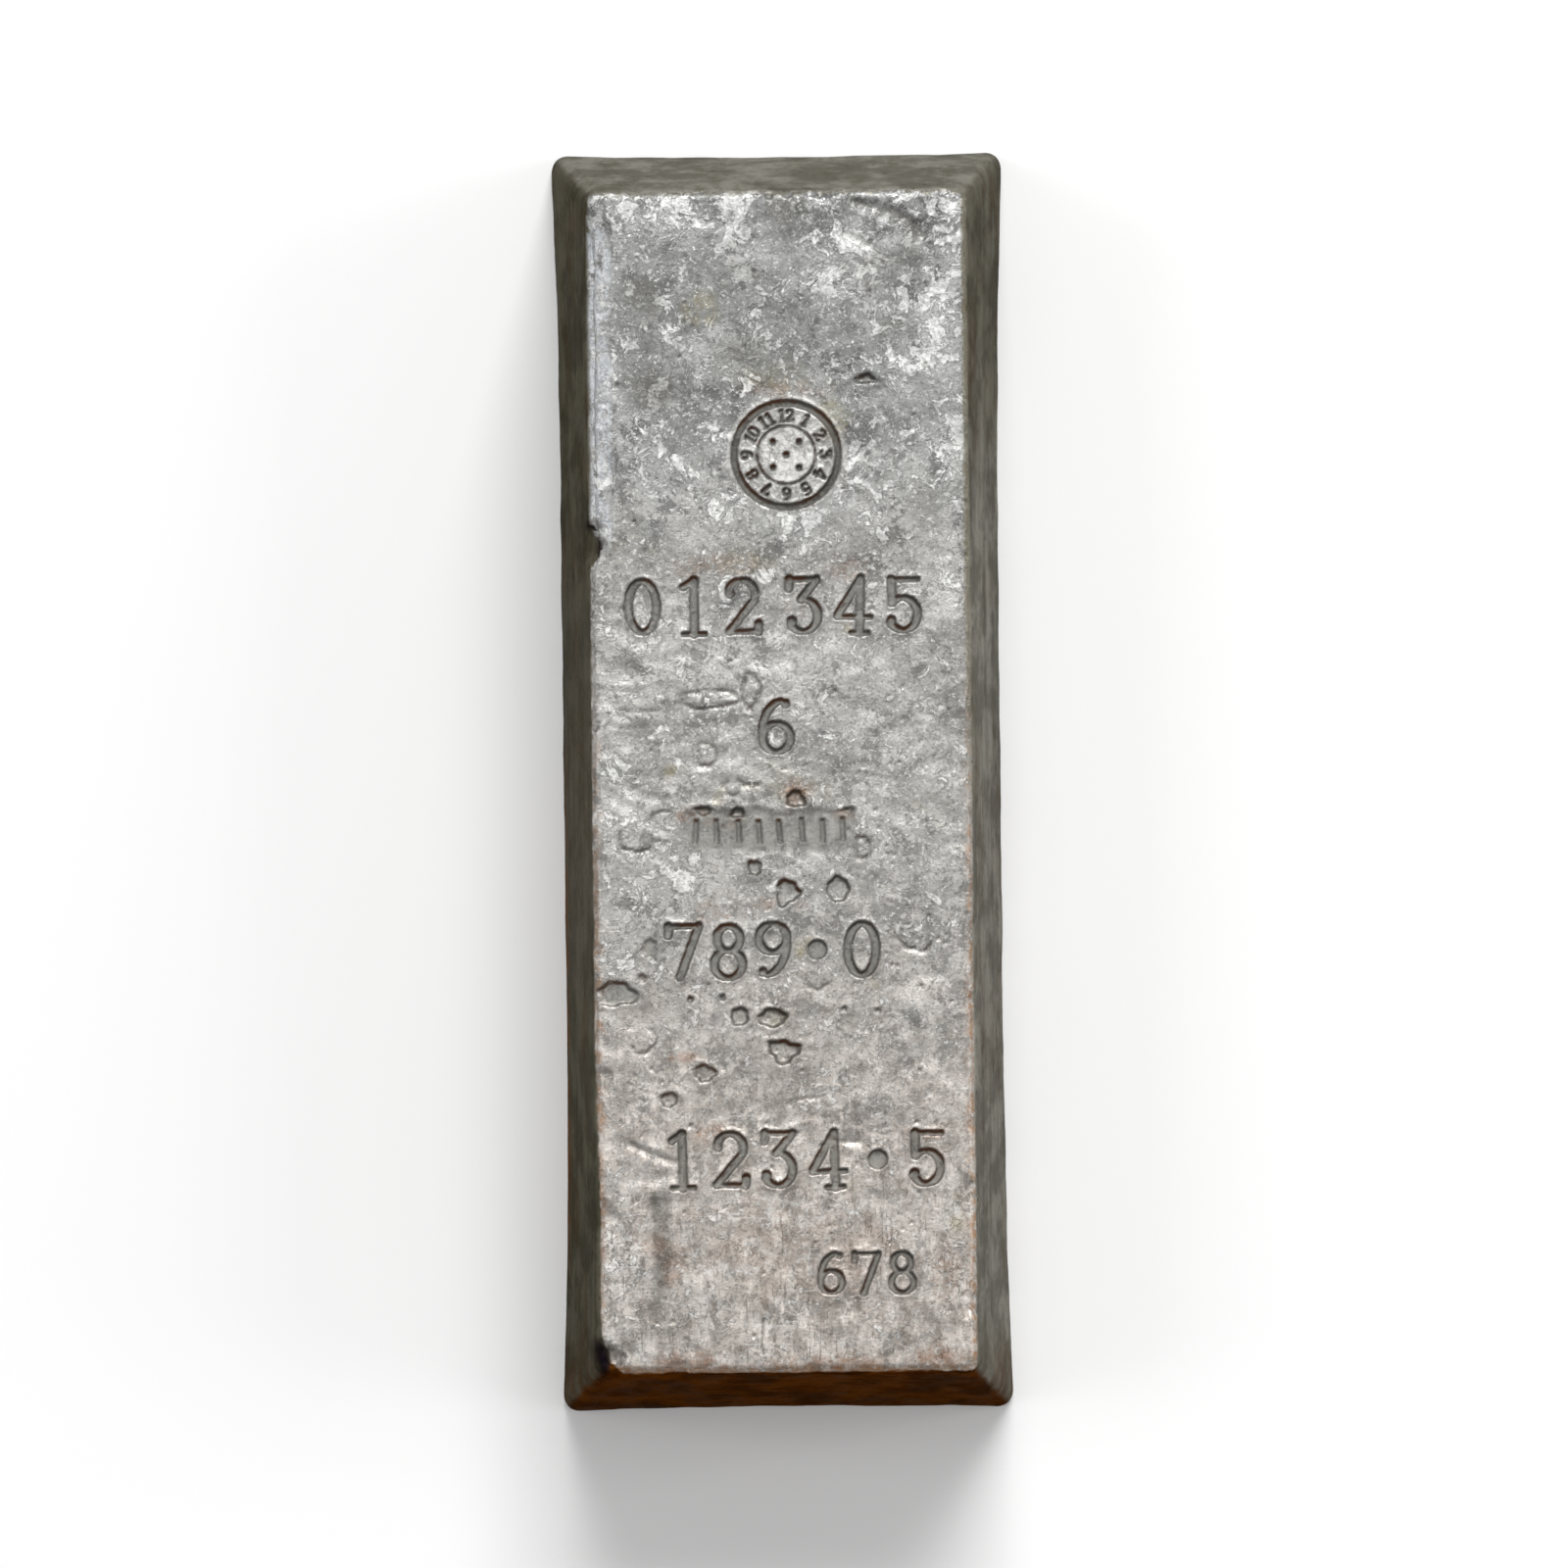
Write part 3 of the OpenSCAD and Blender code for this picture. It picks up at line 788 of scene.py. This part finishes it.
def end_share(x, y, z):
    """1 on the two end walls and 0 on the long sides, parted at the hips of the block."""
    past_w = np.abs(x) - HALF_W - (BASE_EDGE_R - z) * SIDE_LEAN
    past_l = np.abs(y) - HALF_L - (BASE_EDGE_R - z) * END_LEAN
    return smooth(-1.3, 1.3, past_l - past_w + 0.8 * noise(x + y, z, 9, 84))


def wall_share(x, y, z, out, fine):
    """1 on the walls and 0 on the bright face, which ends raggedly just past its edge."""
    left_low = smooth(-40, -47, x) * (smooth(-60, -110, y) + 1.3 * bell(y + 148.5, 5))
    (notch_x, notch_y), (notch_w, notch_l) = NOTCH
    notch = np.hypot((x - notch_x) / notch_w, (y - notch_y) / notch_l) + 0.4 * fine
    lost = 1.3 * left_low + 4 * smooth(1.05, 0.85, notch)
    return smooth(2.45, 3.1, out + 0.35 * (TOP - z) + fine + lost)


def rim_share(x, y, out, fine):
    """The tarnished rim of the face: along its right side, and fainter at its far edge."""
    right = smooth(0.5, 1.1, out + fine) * smooth(45, 47, x) * smooth(-40, 60, y)
    far = smooth(0.9, 1.6, np.abs(y) - FACE_HALF_L + 2.5 * fine) * smooth(0, 9, y)
    return np.maximum(right, 0.7 * far)


def stamp_share(x, y):
    """1 inside the ring mark."""
    ring_x, ring_y = place(RING_PLACE)
    return smooth(RING_R + 1.5, RING_R + 0.5, np.hypot(x - ring_x, y - ring_y))


def paint(piece):
    """Stores, at each vertex, the shares that the material reads."""
    mesh = piece.data
    co, normal = (np.zeros(len(mesh.vertices) * 3, np.float32) for _ in range(2))
    mesh.vertices.foreach_get("co", co)
    mesh.vertices.foreach_get("normal", normal)
    x, y, z = co.reshape(-1, 3).T.astype(float) / MM
    out = np.maximum(np.abs(x) - FACE_HALF_W, np.abs(y) - FACE_HALF_L)
    fine = 0.35 * noise(x + z, y, 3, 81) + 0.2 * noise(x + z, y, 1.2, 82)
    wall = wall_share(x, y, z, out, fine)
    # The upper rim of a mark, as it is read, is the slope that faces the near end, away from the
    # key light. It gets painted shade: a heavier crease line, and a rust tint darkened as shade.
    upper = smooth(0.05, 0.5, -normal[1::3]) * (1 - wall)
    hollow, outline = np.zeros(x.shape), np.zeros(x.shape)
    at = wall < 1
    _, hollow[at], outline[at] = face_relief(x[at], y[at])
    worn = worn_side(x, y)
    shares = {kind: stain(x, y, kind) for kind in STAINS}
    shares["dark"] = np.maximum(shares["dark"], scores(x, y)[1])
    shares["wall"] = wall
    shares["end"] = end_share(x, y, z)
    shares["frost"] = frost(x, y)
    shares["stamp"] = stamp_share(x, y)
    shares["worn"] = smooth(0, 0.25, worn)
    shares["crack"] = bell(worn - 0.06, 0.06) * smooth(0, 0.03, worn)
    shares["fringe"] = bell(out - 1.6 + 1.5 * noise(x, y, 6, 83), 1.1) * smooth(60, -60, y)
    shares["rim"] = rim_share(x, y, out, fine)
    shares["hollow"] = hollow * (1 - wall)
    # Painted shade along the walls of marks and creases, heavier on the slopes that face the near
    # end, away from the key light.
    shares["outline"] = outline * (1 - wall) * (0.5 + 0.5 * upper)
    # A rust tint with painted shade, on the slopes of marks that face the near end.
    shares["rust_and_shade"] = upper * np.maximum(hollow, outline)
    for name, share in shares.items():
        layer = mesh.attributes.new(name, "FLOAT", "POINT")
        layer.data.foreach_set("value", share.astype(np.float32))


# ---- Materials ----

# Colours in linear light. A pair is the darker and the paler patches or lines of one thing.
METAL = (0.40, 0.39, 0.37), (0.54, 0.525, 0.50)
FROSTED = (0.215, 0.22, 0.215), (0.36, 0.365, 0.36)
WARM_METAL = (0.66, 0.61, 0.56)
PALE_METAL = (0.64, 0.64, 0.62)
# Bright worn metal, tinted bluish white as a painted reflection.
WORN_METAL_AND_REFLECTION = (0.57, 0.59, 0.615)
STAMPED = (0.66, 0.65, 0.62)
ETCHED = (0.125, 0.125, 0.12)
SPECK = (0.14, 0.135, 0.125)
CRUST = (0.88, 0.88, 0.86)
FLECK = (0.84, 0.84, 0.82)
CRACK = (0.10, 0.10, 0.09)

BROWNED = (0.40, 0.33, 0.275)
DRAWN = (0.24, 0.21, 0.18), (0.86, 0.80, 0.74)
SCRATCH = (0.16, 0.14, 0.12), (0.80, 0.78, 0.75)
DARK_STAIN = (0.17, 0.165, 0.15)
YELLOW_STAIN = (0.34, 0.30, 0.17)
WARM_STAIN = (0.34, 0.20, 0.13)
RIM = (0.20, 0.18, 0.125)
FRINGE = (0.36, 0.19, 0.085)
MARK_FLOOR = (0.24, 0.235, 0.215)
STAMP_FLOOR = (0.085, 0.08, 0.065)
# Painted shade in the creases at the walls of marks.
CREASE_SHADE = (0.065, 0.06, 0.05)
# A rust tint, darkened as painted shade.
RUST_AND_SHADE = (0.15, 0.06, 0.025)

# The long sides: one olive tarnish, painted darker on the left as shade and paler on the right as
# light.
LEFT_SIDE_TARNISH_AND_SHADE = (0.075, 0.071, 0.050), (0.130, 0.122, 0.092)
LEFT_MIDDLE = (0.165, 0.148, 0.122)
RIGHT_SIDE_TARNISH_AND_LIGHT = (0.180, 0.175, 0.148), (0.300, 0.292, 0.255)
# The ends: the far one painted paler as light, the near one a rust brown darkened as painted
# shade.
FAR_END_TARNISH_AND_LIGHT = (0.155, 0.150, 0.124), (0.265, 0.258, 0.224)
FAR_END_RUN = (0.100, 0.090, 0.064)
NEAR_END_RUST_AND_SHADE = (0.050, 0.015, 0.001), (0.115, 0.036, 0.003)
STREAK = (0.030, 0.027, 0.018)
BROWN_CLOUD = (0.085, 0.050, 0.024)
BURNT = (0.085, 0.034, 0.007)
ORANGE_FOOT = (0.20, 0.085, 0.028)
PORE = (0.020, 0.016, 0.010)
SOOT = (0.010, 0.007, 0.009)
SPECULAR_TINT = (0.10, 0.075, 0.04)

STUDIO_FLOOR = (0.90, 0.90, 0.90), (0.93, 0.93, 0.93)


class Nodes:
    """Short names for the shader nodes that the materials use."""

    def __init__(self, name):
        self.material = bpy.data.materials.new(name)
        self.material.use_nodes = True
        self.tree = self.material.node_tree
        self.shader = self.tree.nodes["Principled BSDF"]
        here = self.node("TexCoord").outputs["Object"]
        self.here = self.vector_math("SCALE", {0: here, "Scale": 1 / MM})

    def put(self, socket, value):
        """Links a socket to another one, or sets its own value."""
        if isinstance(value, bpy.types.NodeSocket):
            self.tree.links.new(value, socket)
        else:
            socket.default_value = value

    def node(self, kind, inputs=None, **settings):
        """A new node with its settings, and its inputs by name or number."""
        made = self.tree.nodes.new("ShaderNode" + kind)
        for name, value in settings.items():
            setattr(made, name, value)
        for socket, value in (inputs or {}).items():
            self.put(made.inputs[socket], value)
        return made

    def vector_math(self, operation, inputs):
        return self.node("VectorMath", inputs, operation=operation).outputs[0]

    def calc(self, operation, a, b=0.0):
        return self.node("Math", {0: a, 1: b}, operation=operation).outputs[0]

    def share(self, name):
        """A share that paint() stored at the vertices."""
        return self.node("Attribute", attribute_name=name).outputs["Fac"]

    def axis(self, name):
        """The place in mm along one of the bar's axes."""
        return self.node("SeparateXYZ", {0: self.here}).outputs[name]

    def noise(self, size, detail=2.0, rough=0.5, squash=(1, 1, 1), warp=0.0, shift=0):
        """Noise from about 0.2 to 0.8, with features about size mm across."""
        at = self.vector_math("MULTIPLY", {0: self.here, 1: squash})
        at = self.vector_math("ADD", {0: at, 1: (shift * size, -shift * size, 0.3 * size)})
        inputs = {"Vector": at, "Scale": 1 / size, "Detail": detail, "Roughness": rough,
                  "Distortion": warp}
        return self.node("TexNoise", inputs).outputs["Fac"]

    def span(self, value, start, end, low=0.0, high=1.0):
        """Maps start..end to low..high with soft ends."""
        inputs = {"Value": value, "From Min": start, "From Max": end, "To Min": low,
                  "To Max": high}
        return self.node("MapRange", inputs, interpolation_type="SMOOTHSTEP").outputs["Result"]

    def mix(self, share, a, b):
        """A colour that goes from a to b with a share."""
        node = self.node("Mix", {"Factor": share}, data_type="RGBA")
        colours = [s for s in node.inputs if s.type == "RGBA"]
        for socket, value in zip(colours, (a, b)):
            self.put(socket, value if isinstance(value, bpy.types.NodeSocket) else (*value, 1))
        return next(s for s in node.outputs if s.type == "RGBA")

    def blend(self, share, a, b):
        """A number that goes from a to b with a share."""
        node = self.node("Mix", {"Factor": share}, data_type="FLOAT")
        numbers = [s for s in node.inputs if s.type == "VALUE" and s.name in "AB"]
        for socket, value in zip(numbers, (a, b)):
            self.put(socket, value)
        return next(s for s in node.outputs if s.type == "VALUE")

    def bump(self, height, distance, normal=None):
        """The normal of a relief this many mm deep, on top of another one's."""
        node = self.node("Bump", {"Strength": 1.0, "Distance": distance * MM, "Height": height})
        if normal is not None:
            self.put(node.inputs["Normal"], normal)
        return node.outputs["Normal"]


def times(n, *shares):
    """The product of shares."""
    product = shares[0]
    for share in shares[1:]:
        product = n.calc("MULTIPLY", product, share)
    return product


def crust_share(n):
    """Where a broken pale crust lies on the metal: most of the far end, patches elsewhere."""
    frost, pale = n.share("frost"), n.share("pale")
    cover = n.calc("ADD", times(n, frost, 0.042), times(n, pale, 0.062))
    edge = n.calc("SUBTRACT", 0.575, cover)
    clump = n.noise(11, 3, 0.5, shift=19)
    lumpy = n.calc("ADD", n.noise(5, 9, 0.74, warp=0.7), n.calc("MULTIPLY", clump, 0.35))
    lumpy = n.calc("SUBTRACT", lumpy, 0.175)
    island = n.span(lumpy, edge, n.calc("ADD", edge, 0.040))
    off = n.calc("ABSOLUTE", n.calc("SUBTRACT", n.noise(9, 6, 0.68, warp=0.9, shift=13), 0.5))
    ridge = n.span(off, n.blend(frost, 0.006, 0.020), 0.002)
    ridge = times(n, ridge, n.span(n.noise(2.2, 4, 0.7, shift=3), 0.42, 0.56))
    either = n.calc("MAXIMUM", island, ridge)
    thick = n.span(n.noise(10, 4, 0.65, shift=15), 0.38, 0.60, 0.5, 1.0)
    broken = n.span(n.noise(1.1, 4, 0.7, shift=3), 0.38, 0.54, 0.40, 1.0)
    return times(n, either, broken, thick)


def silver_tone(n, crust):
    """Patinated silver: grey metal, etched darker in patches, under the crust."""
    frost, pale = n.share("frost"), n.share("pale")
    patch = n.span(n.noise(20, 4, 0.65), 0.38, 0.62)
    bare = n.mix(frost, METAL[0], FROSTED[0])
    worn = n.mix(frost, METAL[1], FROSTED[1])
    tone = n.mix(patch, bare, worn)
    low = n.span(n.axis("Y"), -20, -120)
    tone = n.mix(times(n, low, 0.75), tone, WARM_METAL)
    # Pale patches of crust; along the face's edges they are partly a painted highlight.
    tone = n.mix(times(n, pale, 0.50), tone, PALE_METAL)
    bitten = n.span(n.noise(13, 4, 0.6, shift=23), 0.40, 0.62, 1.0, 0.25)
    etched = n.span(n.noise(6, 9, 0.72, warp=0.4, shift=7), 0.500, 0.445)
    tone = n.mix(times(n, etched, bitten, n.blend(frost, 0.60, 0.90)), tone, ETCHED)
    speck = n.span(n.noise(1.0, 4, 0.75, shift=11), 0.46, 0.37)
    tone = n.mix(times(n, speck, 0.6), tone, SPECK)
    tone = n.mix(times(n, crust, 0.94), tone, CRUST)
    fleck = n.span(n.noise(0.9, 3, 0.65, shift=5), 0.56, 0.65)
    tone = n.mix(times(n, fleck, 0.55), tone, FLECK)
    # The worn strip on the left edge: bright worn metal with a painted bluish white reflection.
    strip = n.span(n.noise(3, 6, 0.75, squash=(1, 0.45, 1), shift=2), 0.44, 0.53, 0.0, 0.85)
    tone = n.mix(times(n, n.share("worn"), strip), tone, WORN_METAL_AND_REFLECTION)
    tone = n.mix(times(n, n.share("stamp"), 0.55), tone, STAMPED)
    gap = n.span(n.noise(5, 4, 0.7, squash=(1, 0.5, 1), shift=12), 0.48, 0.56)
    return n.mix(times(n, n.share("crack"), gap, 0.6), tone, CRACK)


def scratches(n, squash, shift):
    """Fine, nearly straight lines, in broken patches of the near end."""
    line = n.span(n.noise(1.0, 2, 0.5, squash=squash, shift=shift), 0.60, 0.68)
    patch = n.span(n.noise(16, 3, 0.6, shift=shift), 0.42, 0.58)
    return times(n, line, patch, n.span(n.axis("Y"), -70, -120))


def stained(n, tone):
    """Stains, scratches, the floors of hollows, and their rims: dark lines of painted shade in
    the creases, and a rust tint with painted shade on the slopes that face the near end.
    """
    cloud = n.span(n.noise(5, 5, 0.7), 0.38, 0.60)
    near_end = n.span(n.axis("Y"), 20, -150)
    tone = n.mix(times(n, near_end, cloud, 0.42), tone, BROWNED)
    drawn = n.noise(4, 6, 0.72, squash=(1, 0.45, 1), shift=27)
    tone = n.mix(times(n, near_end, n.span(drawn, 0.47, 0.41), 0.55), tone, DRAWN[0])
    tone = n.mix(times(n, near_end, n.span(drawn, 0.54, 0.60), 0.60), tone, DRAWN[1])
    tone = n.mix(times(n, scratches(n, (1.5, 0.10, 1), 4), 0.6), tone, SCRATCH[0])
    tone = n.mix(times(n, scratches(n, (0.08, 1.3, 1), 9), 0.5), tone, SCRATCH[1])
    shaded = n.blend(cloud, 0.6, 1.0)
    tone = n.mix(times(n, n.share("dark"), shaded, 0.8), tone, DARK_STAIN)
    tone = n.mix(times(n, n.share("yellow"), cloud, 0.6), tone, YELLOW_STAIN)
    tone = n.mix(times(n, n.share("warm"), cloud, 0.75), tone, WARM_STAIN)
    tone = n.mix(times(n, n.share("rim"), 0.8), tone, RIM)
    patchy = n.span(n.noise(2.2, 4, 0.7, shift=6), 0.40, 0.60)
    tone = n.mix(times(n, n.share("fringe"), patchy, 0.75), tone, FRINGE)
    floor = n.mix(n.share("stamp"), MARK_FLOOR, STAMP_FLOOR)
    tone = n.mix(times(n, n.share("hollow"), 0.78), tone, floor)
    # Painted shade: dark lines in the creases at the walls of marks, pits and blisters.
    tone = n.mix(times(n, n.share("outline"), 0.85), tone, CREASE_SHADE)
    # Painted shade with a rust tint, on the slopes of marks that face the near end, away from the
    # key light.
    patchy_rust_and_shade = n.span(n.noise(9, 2), 0.42, 0.60)
    return n.mix(times(n, n.share("rust_and_shade"), patchy_rust_and_shade, 0.8), tone, RUST_AND_SHADE)


def side_tone(n):
    """The long sides: olive tarnish in blotches and runs. The right side is painted paler and
    greyer as painted light, the left darker as painted shade.
    """
    blotch = n.span(n.noise(11, 5, 0.65, squash=(1, 0.8, 0.3)), 0.40, 0.60)
    left = n.mix(blotch, *LEFT_SIDE_TARNISH_AND_SHADE)
    middle = times(n, n.span(n.axis("Y"), 80, 20), n.span(n.axis("Y"), -110, -40))
    left = n.mix(times(n, middle, 0.4), left, LEFT_MIDDLE)
    right = n.mix(blotch, *RIGHT_SIDE_TARNISH_AND_LIGHT)
    right = n.mix(n.span(n.axis("Y"), 60, 120, 0.0, 0.75), right, left)
    # Painted light and shade: the right side paler, the left darker.
    tone = n.mix(n.span(n.axis("X"), -5, 5), left, right)
    streak = n.span(n.noise(9, 4, 0.7, squash=(0.12, 0.12, 1), shift=3), 0.44, 0.62)
    tone = n.mix(times(n, streak, 0.25), tone, STREAK)
    brown = n.span(n.noise(17, 4, 0.65, squash=(0.6, 0.4, 0.5), shift=8), 0.50, 0.64)
    tone = n.mix(times(n, brown, 0.35), tone, BROWN_CLOUD)
    burnt = times(n, n.span(n.axis("Y"), -138, -164), n.span(n.noise(10, 4, 0.65), 0.36, 0.58))
    tone = n.mix(times(n, burnt, 0.55), tone, BURNT)
    foot = times(n, n.span(n.axis("X"), -56.6, -58.2), n.span(n.axis("Y"), 20, -40),
                 n.span(n.axis("Y"), -140, -105), n.span(n.noise(8, 3, 0.6), 0.36, 0.52))
    return n.mix(times(n, foot, 0.75), tone, ORANGE_FOOT)


def end_tone(n):
    """The ends: grey olive with darker runs at the far one, painted paler there as painted light;
    a rust brown at the near one, darkened nearly to black as painted shade.
    """
    sheet = n.span(n.noise(11, 8, 0.72, squash=(0.7, 1, 0.4), shift=1), 0.40, 0.60)
    far_end = n.mix(sheet, *FAR_END_TARNISH_AND_LIGHT)
    run = n.span(n.noise(7, 5, 0.7, squash=(1, 1, 0.12), shift=21), 0.50, 0.62)
    far_end = n.mix(times(n, run, 0.35), far_end, FAR_END_RUN)
    near_end = n.mix(sheet, *NEAR_END_RUST_AND_SHADE)
    # Painted light on the far end, painted shade over the near end's rust brown.
    return n.mix(n.span(n.axis("Y"), 5, -5), far_end, near_end)


def cast_silver():
    """Patinated silver: a bright, crusted and stained face between dull, tarnished walls."""
    n = Nodes("cast_silver")
    wall, hollow, crust = n.share("wall"), n.share("hollow"), crust_share(n)
    face = stained(n, silver_tone(n, crust))
    sides = n.mix(n.share("end"), side_tone(n), end_tone(n))
    pore = n.span(n.noise(1.8, 4, 0.7, shift=41), 0.41, 0.33)
    sides = n.mix(times(n, pore, 0.55), sides, PORE)
    sides = n.mix(n.share("dark"), sides, SOOT)
    n.put(n.shader.inputs["Base Color"], n.mix(wall, face, sides))
    bright = n.span(n.noise(1.6, 3, 0.6), 0.35, 0.65, 0.50, 0.38)
    rough = n.blend(hollow, n.blend(crust, bright, 0.58), 0.6)
    satin = n.span(n.noise(9, 5, 0.7, squash=(1, 0.6, 0.4), shift=31), 0.38, 0.62, 0.36, 0.56)
    n.put(n.shader.inputs["Roughness"], n.blend(wall, rough, satin))
    metal = n.blend(hollow, n.blend(crust, 0.85, 0.45), 0.5)
    n.put(n.shader.inputs["Metallic"], n.blend(wall, metal, 0.45))
    n.shader.inputs["Specular IOR Level"].default_value = 0.0
    n.shader.inputs["Specular Tint"].default_value = (*SPECULAR_TINT, 1)
    grain = n.bump(n.noise(0.5, 3, 0.7), 0.09)
    peel = n.bump(n.noise(2.2, 4, 0.65), 0.16, grain)
    ripple = n.noise(7, 6, 0.65, squash=(0.6, 0.5, 1), shift=17)
    relief = n.blend(wall, times(n, crust, 0.6), ripple)
    n.put(n.shader.inputs["Normal"], n.bump(relief, 0.3, peel))
    return n.material


def studio_floor():
    n = Nodes("pale_floor")
    n.put(n.shader.inputs["Base Color"], n.mix(n.noise(300, 2), *STUDIO_FLOOR))
    n.shader.inputs["Roughness"].default_value = 0.8
    n.shader.inputs["Specular IOR Level"].default_value = 0.2
    return n.material


# ---- The object ----

def make_ingot():
    points, faces = shell()
    points = cast_points(points, point_normals(points, faces))
    piece = thin(mesh_object("dense", points, faces), "silver_bar", MOST_TRIANGLES)
    paint(piece)
    piece.data.materials.clear()
    piece.data.materials.append(cast_silver())
    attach(piece, "root")
    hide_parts("ingot")


# ---- Studio ----

# In metres, but the lens in millimetres and the roll in degrees.
FLOOR_SIZE = 14.0
CAMERA_HEIGHT = 2.59
CAMERA_OVER = (0.0005, -0.00065)
CAMERA_LENS = 222.6
CAMERA_ROLL = -0.57
CAMERA_REACH = 50
SKY_STRENGTH = 0.25


def make_floor():
    h = FLOOR_SIZE / 2 / MM
    square = np.array([(-h, -h, 0), (h, -h, 0), (h, h, 0), (-h, h, 0)], float)
    floor = mesh_object("floor", square, np.array([(0, 1, 2), (0, 2, 3)]))
    floor.data.materials.append(studio_floor())
    floor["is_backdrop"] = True


def area_light(name, azimuth, elevation, distance, size, watts):
    """A square light that looks at the bar. Azimuth 0 stands off towards +Y, 90 towards +X."""
    light = bpy.data.lights.new(name, "AREA")
    light.size = size
    light.energy = watts
    lamp = add_object(name, light)
    a, e = math.radians(azimuth), math.radians(elevation)
    away = (math.sin(a) * math.cos(e), math.cos(a) * math.cos(e), math.sin(e))
    lamp.location = [distance * c for c in away]
    lamp.rotation_euler = (math.pi / 2 - e, 0, math.pi - a)


def make_lights():
    area_light("key", azimuth=8, elevation=48, distance=5.0, size=2.2, watts=210)
    area_light("fill_left", azimuth=-85, elevation=52, distance=4.0, size=1.6, watts=26)
    area_light("fill_right", azimuth=88, elevation=35, distance=4.0, size=2.0, watts=36)
    area_light("overhead", azimuth=0, elevation=88, distance=5.0, size=3.0, watts=20)
    world = bpy.data.worlds.new("studio")
    world.use_nodes = True
    sky = world.node_tree.nodes["Background"]
    sky.inputs["Color"].default_value = (1, 1, 1, 1)
    sky.inputs["Strength"].default_value = SKY_STRENGTH
    bpy.context.scene.world = world
    bpy.context.scene.view_settings.view_transform = "Standard"


def make_camera():
    lens = bpy.data.cameras.new("camera")
    lens.lens = CAMERA_LENS
    lens.clip_end = CAMERA_REACH
    camera = add_object("camera", lens)
    camera.location = (*CAMERA_OVER, CAMERA_HEIGHT)
    camera.rotation_euler = (0, 0, math.radians(CAMERA_ROLL))
    bpy.context.scene.camera = camera


make_ingot()
make_floor()
make_lights()
make_camera()


def corners(box):
    """The low and the high corner of a box, as lists."""
    return [list(corner) for corner in box]


{"cad": corners(cad_box), "visual": corners(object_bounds())}
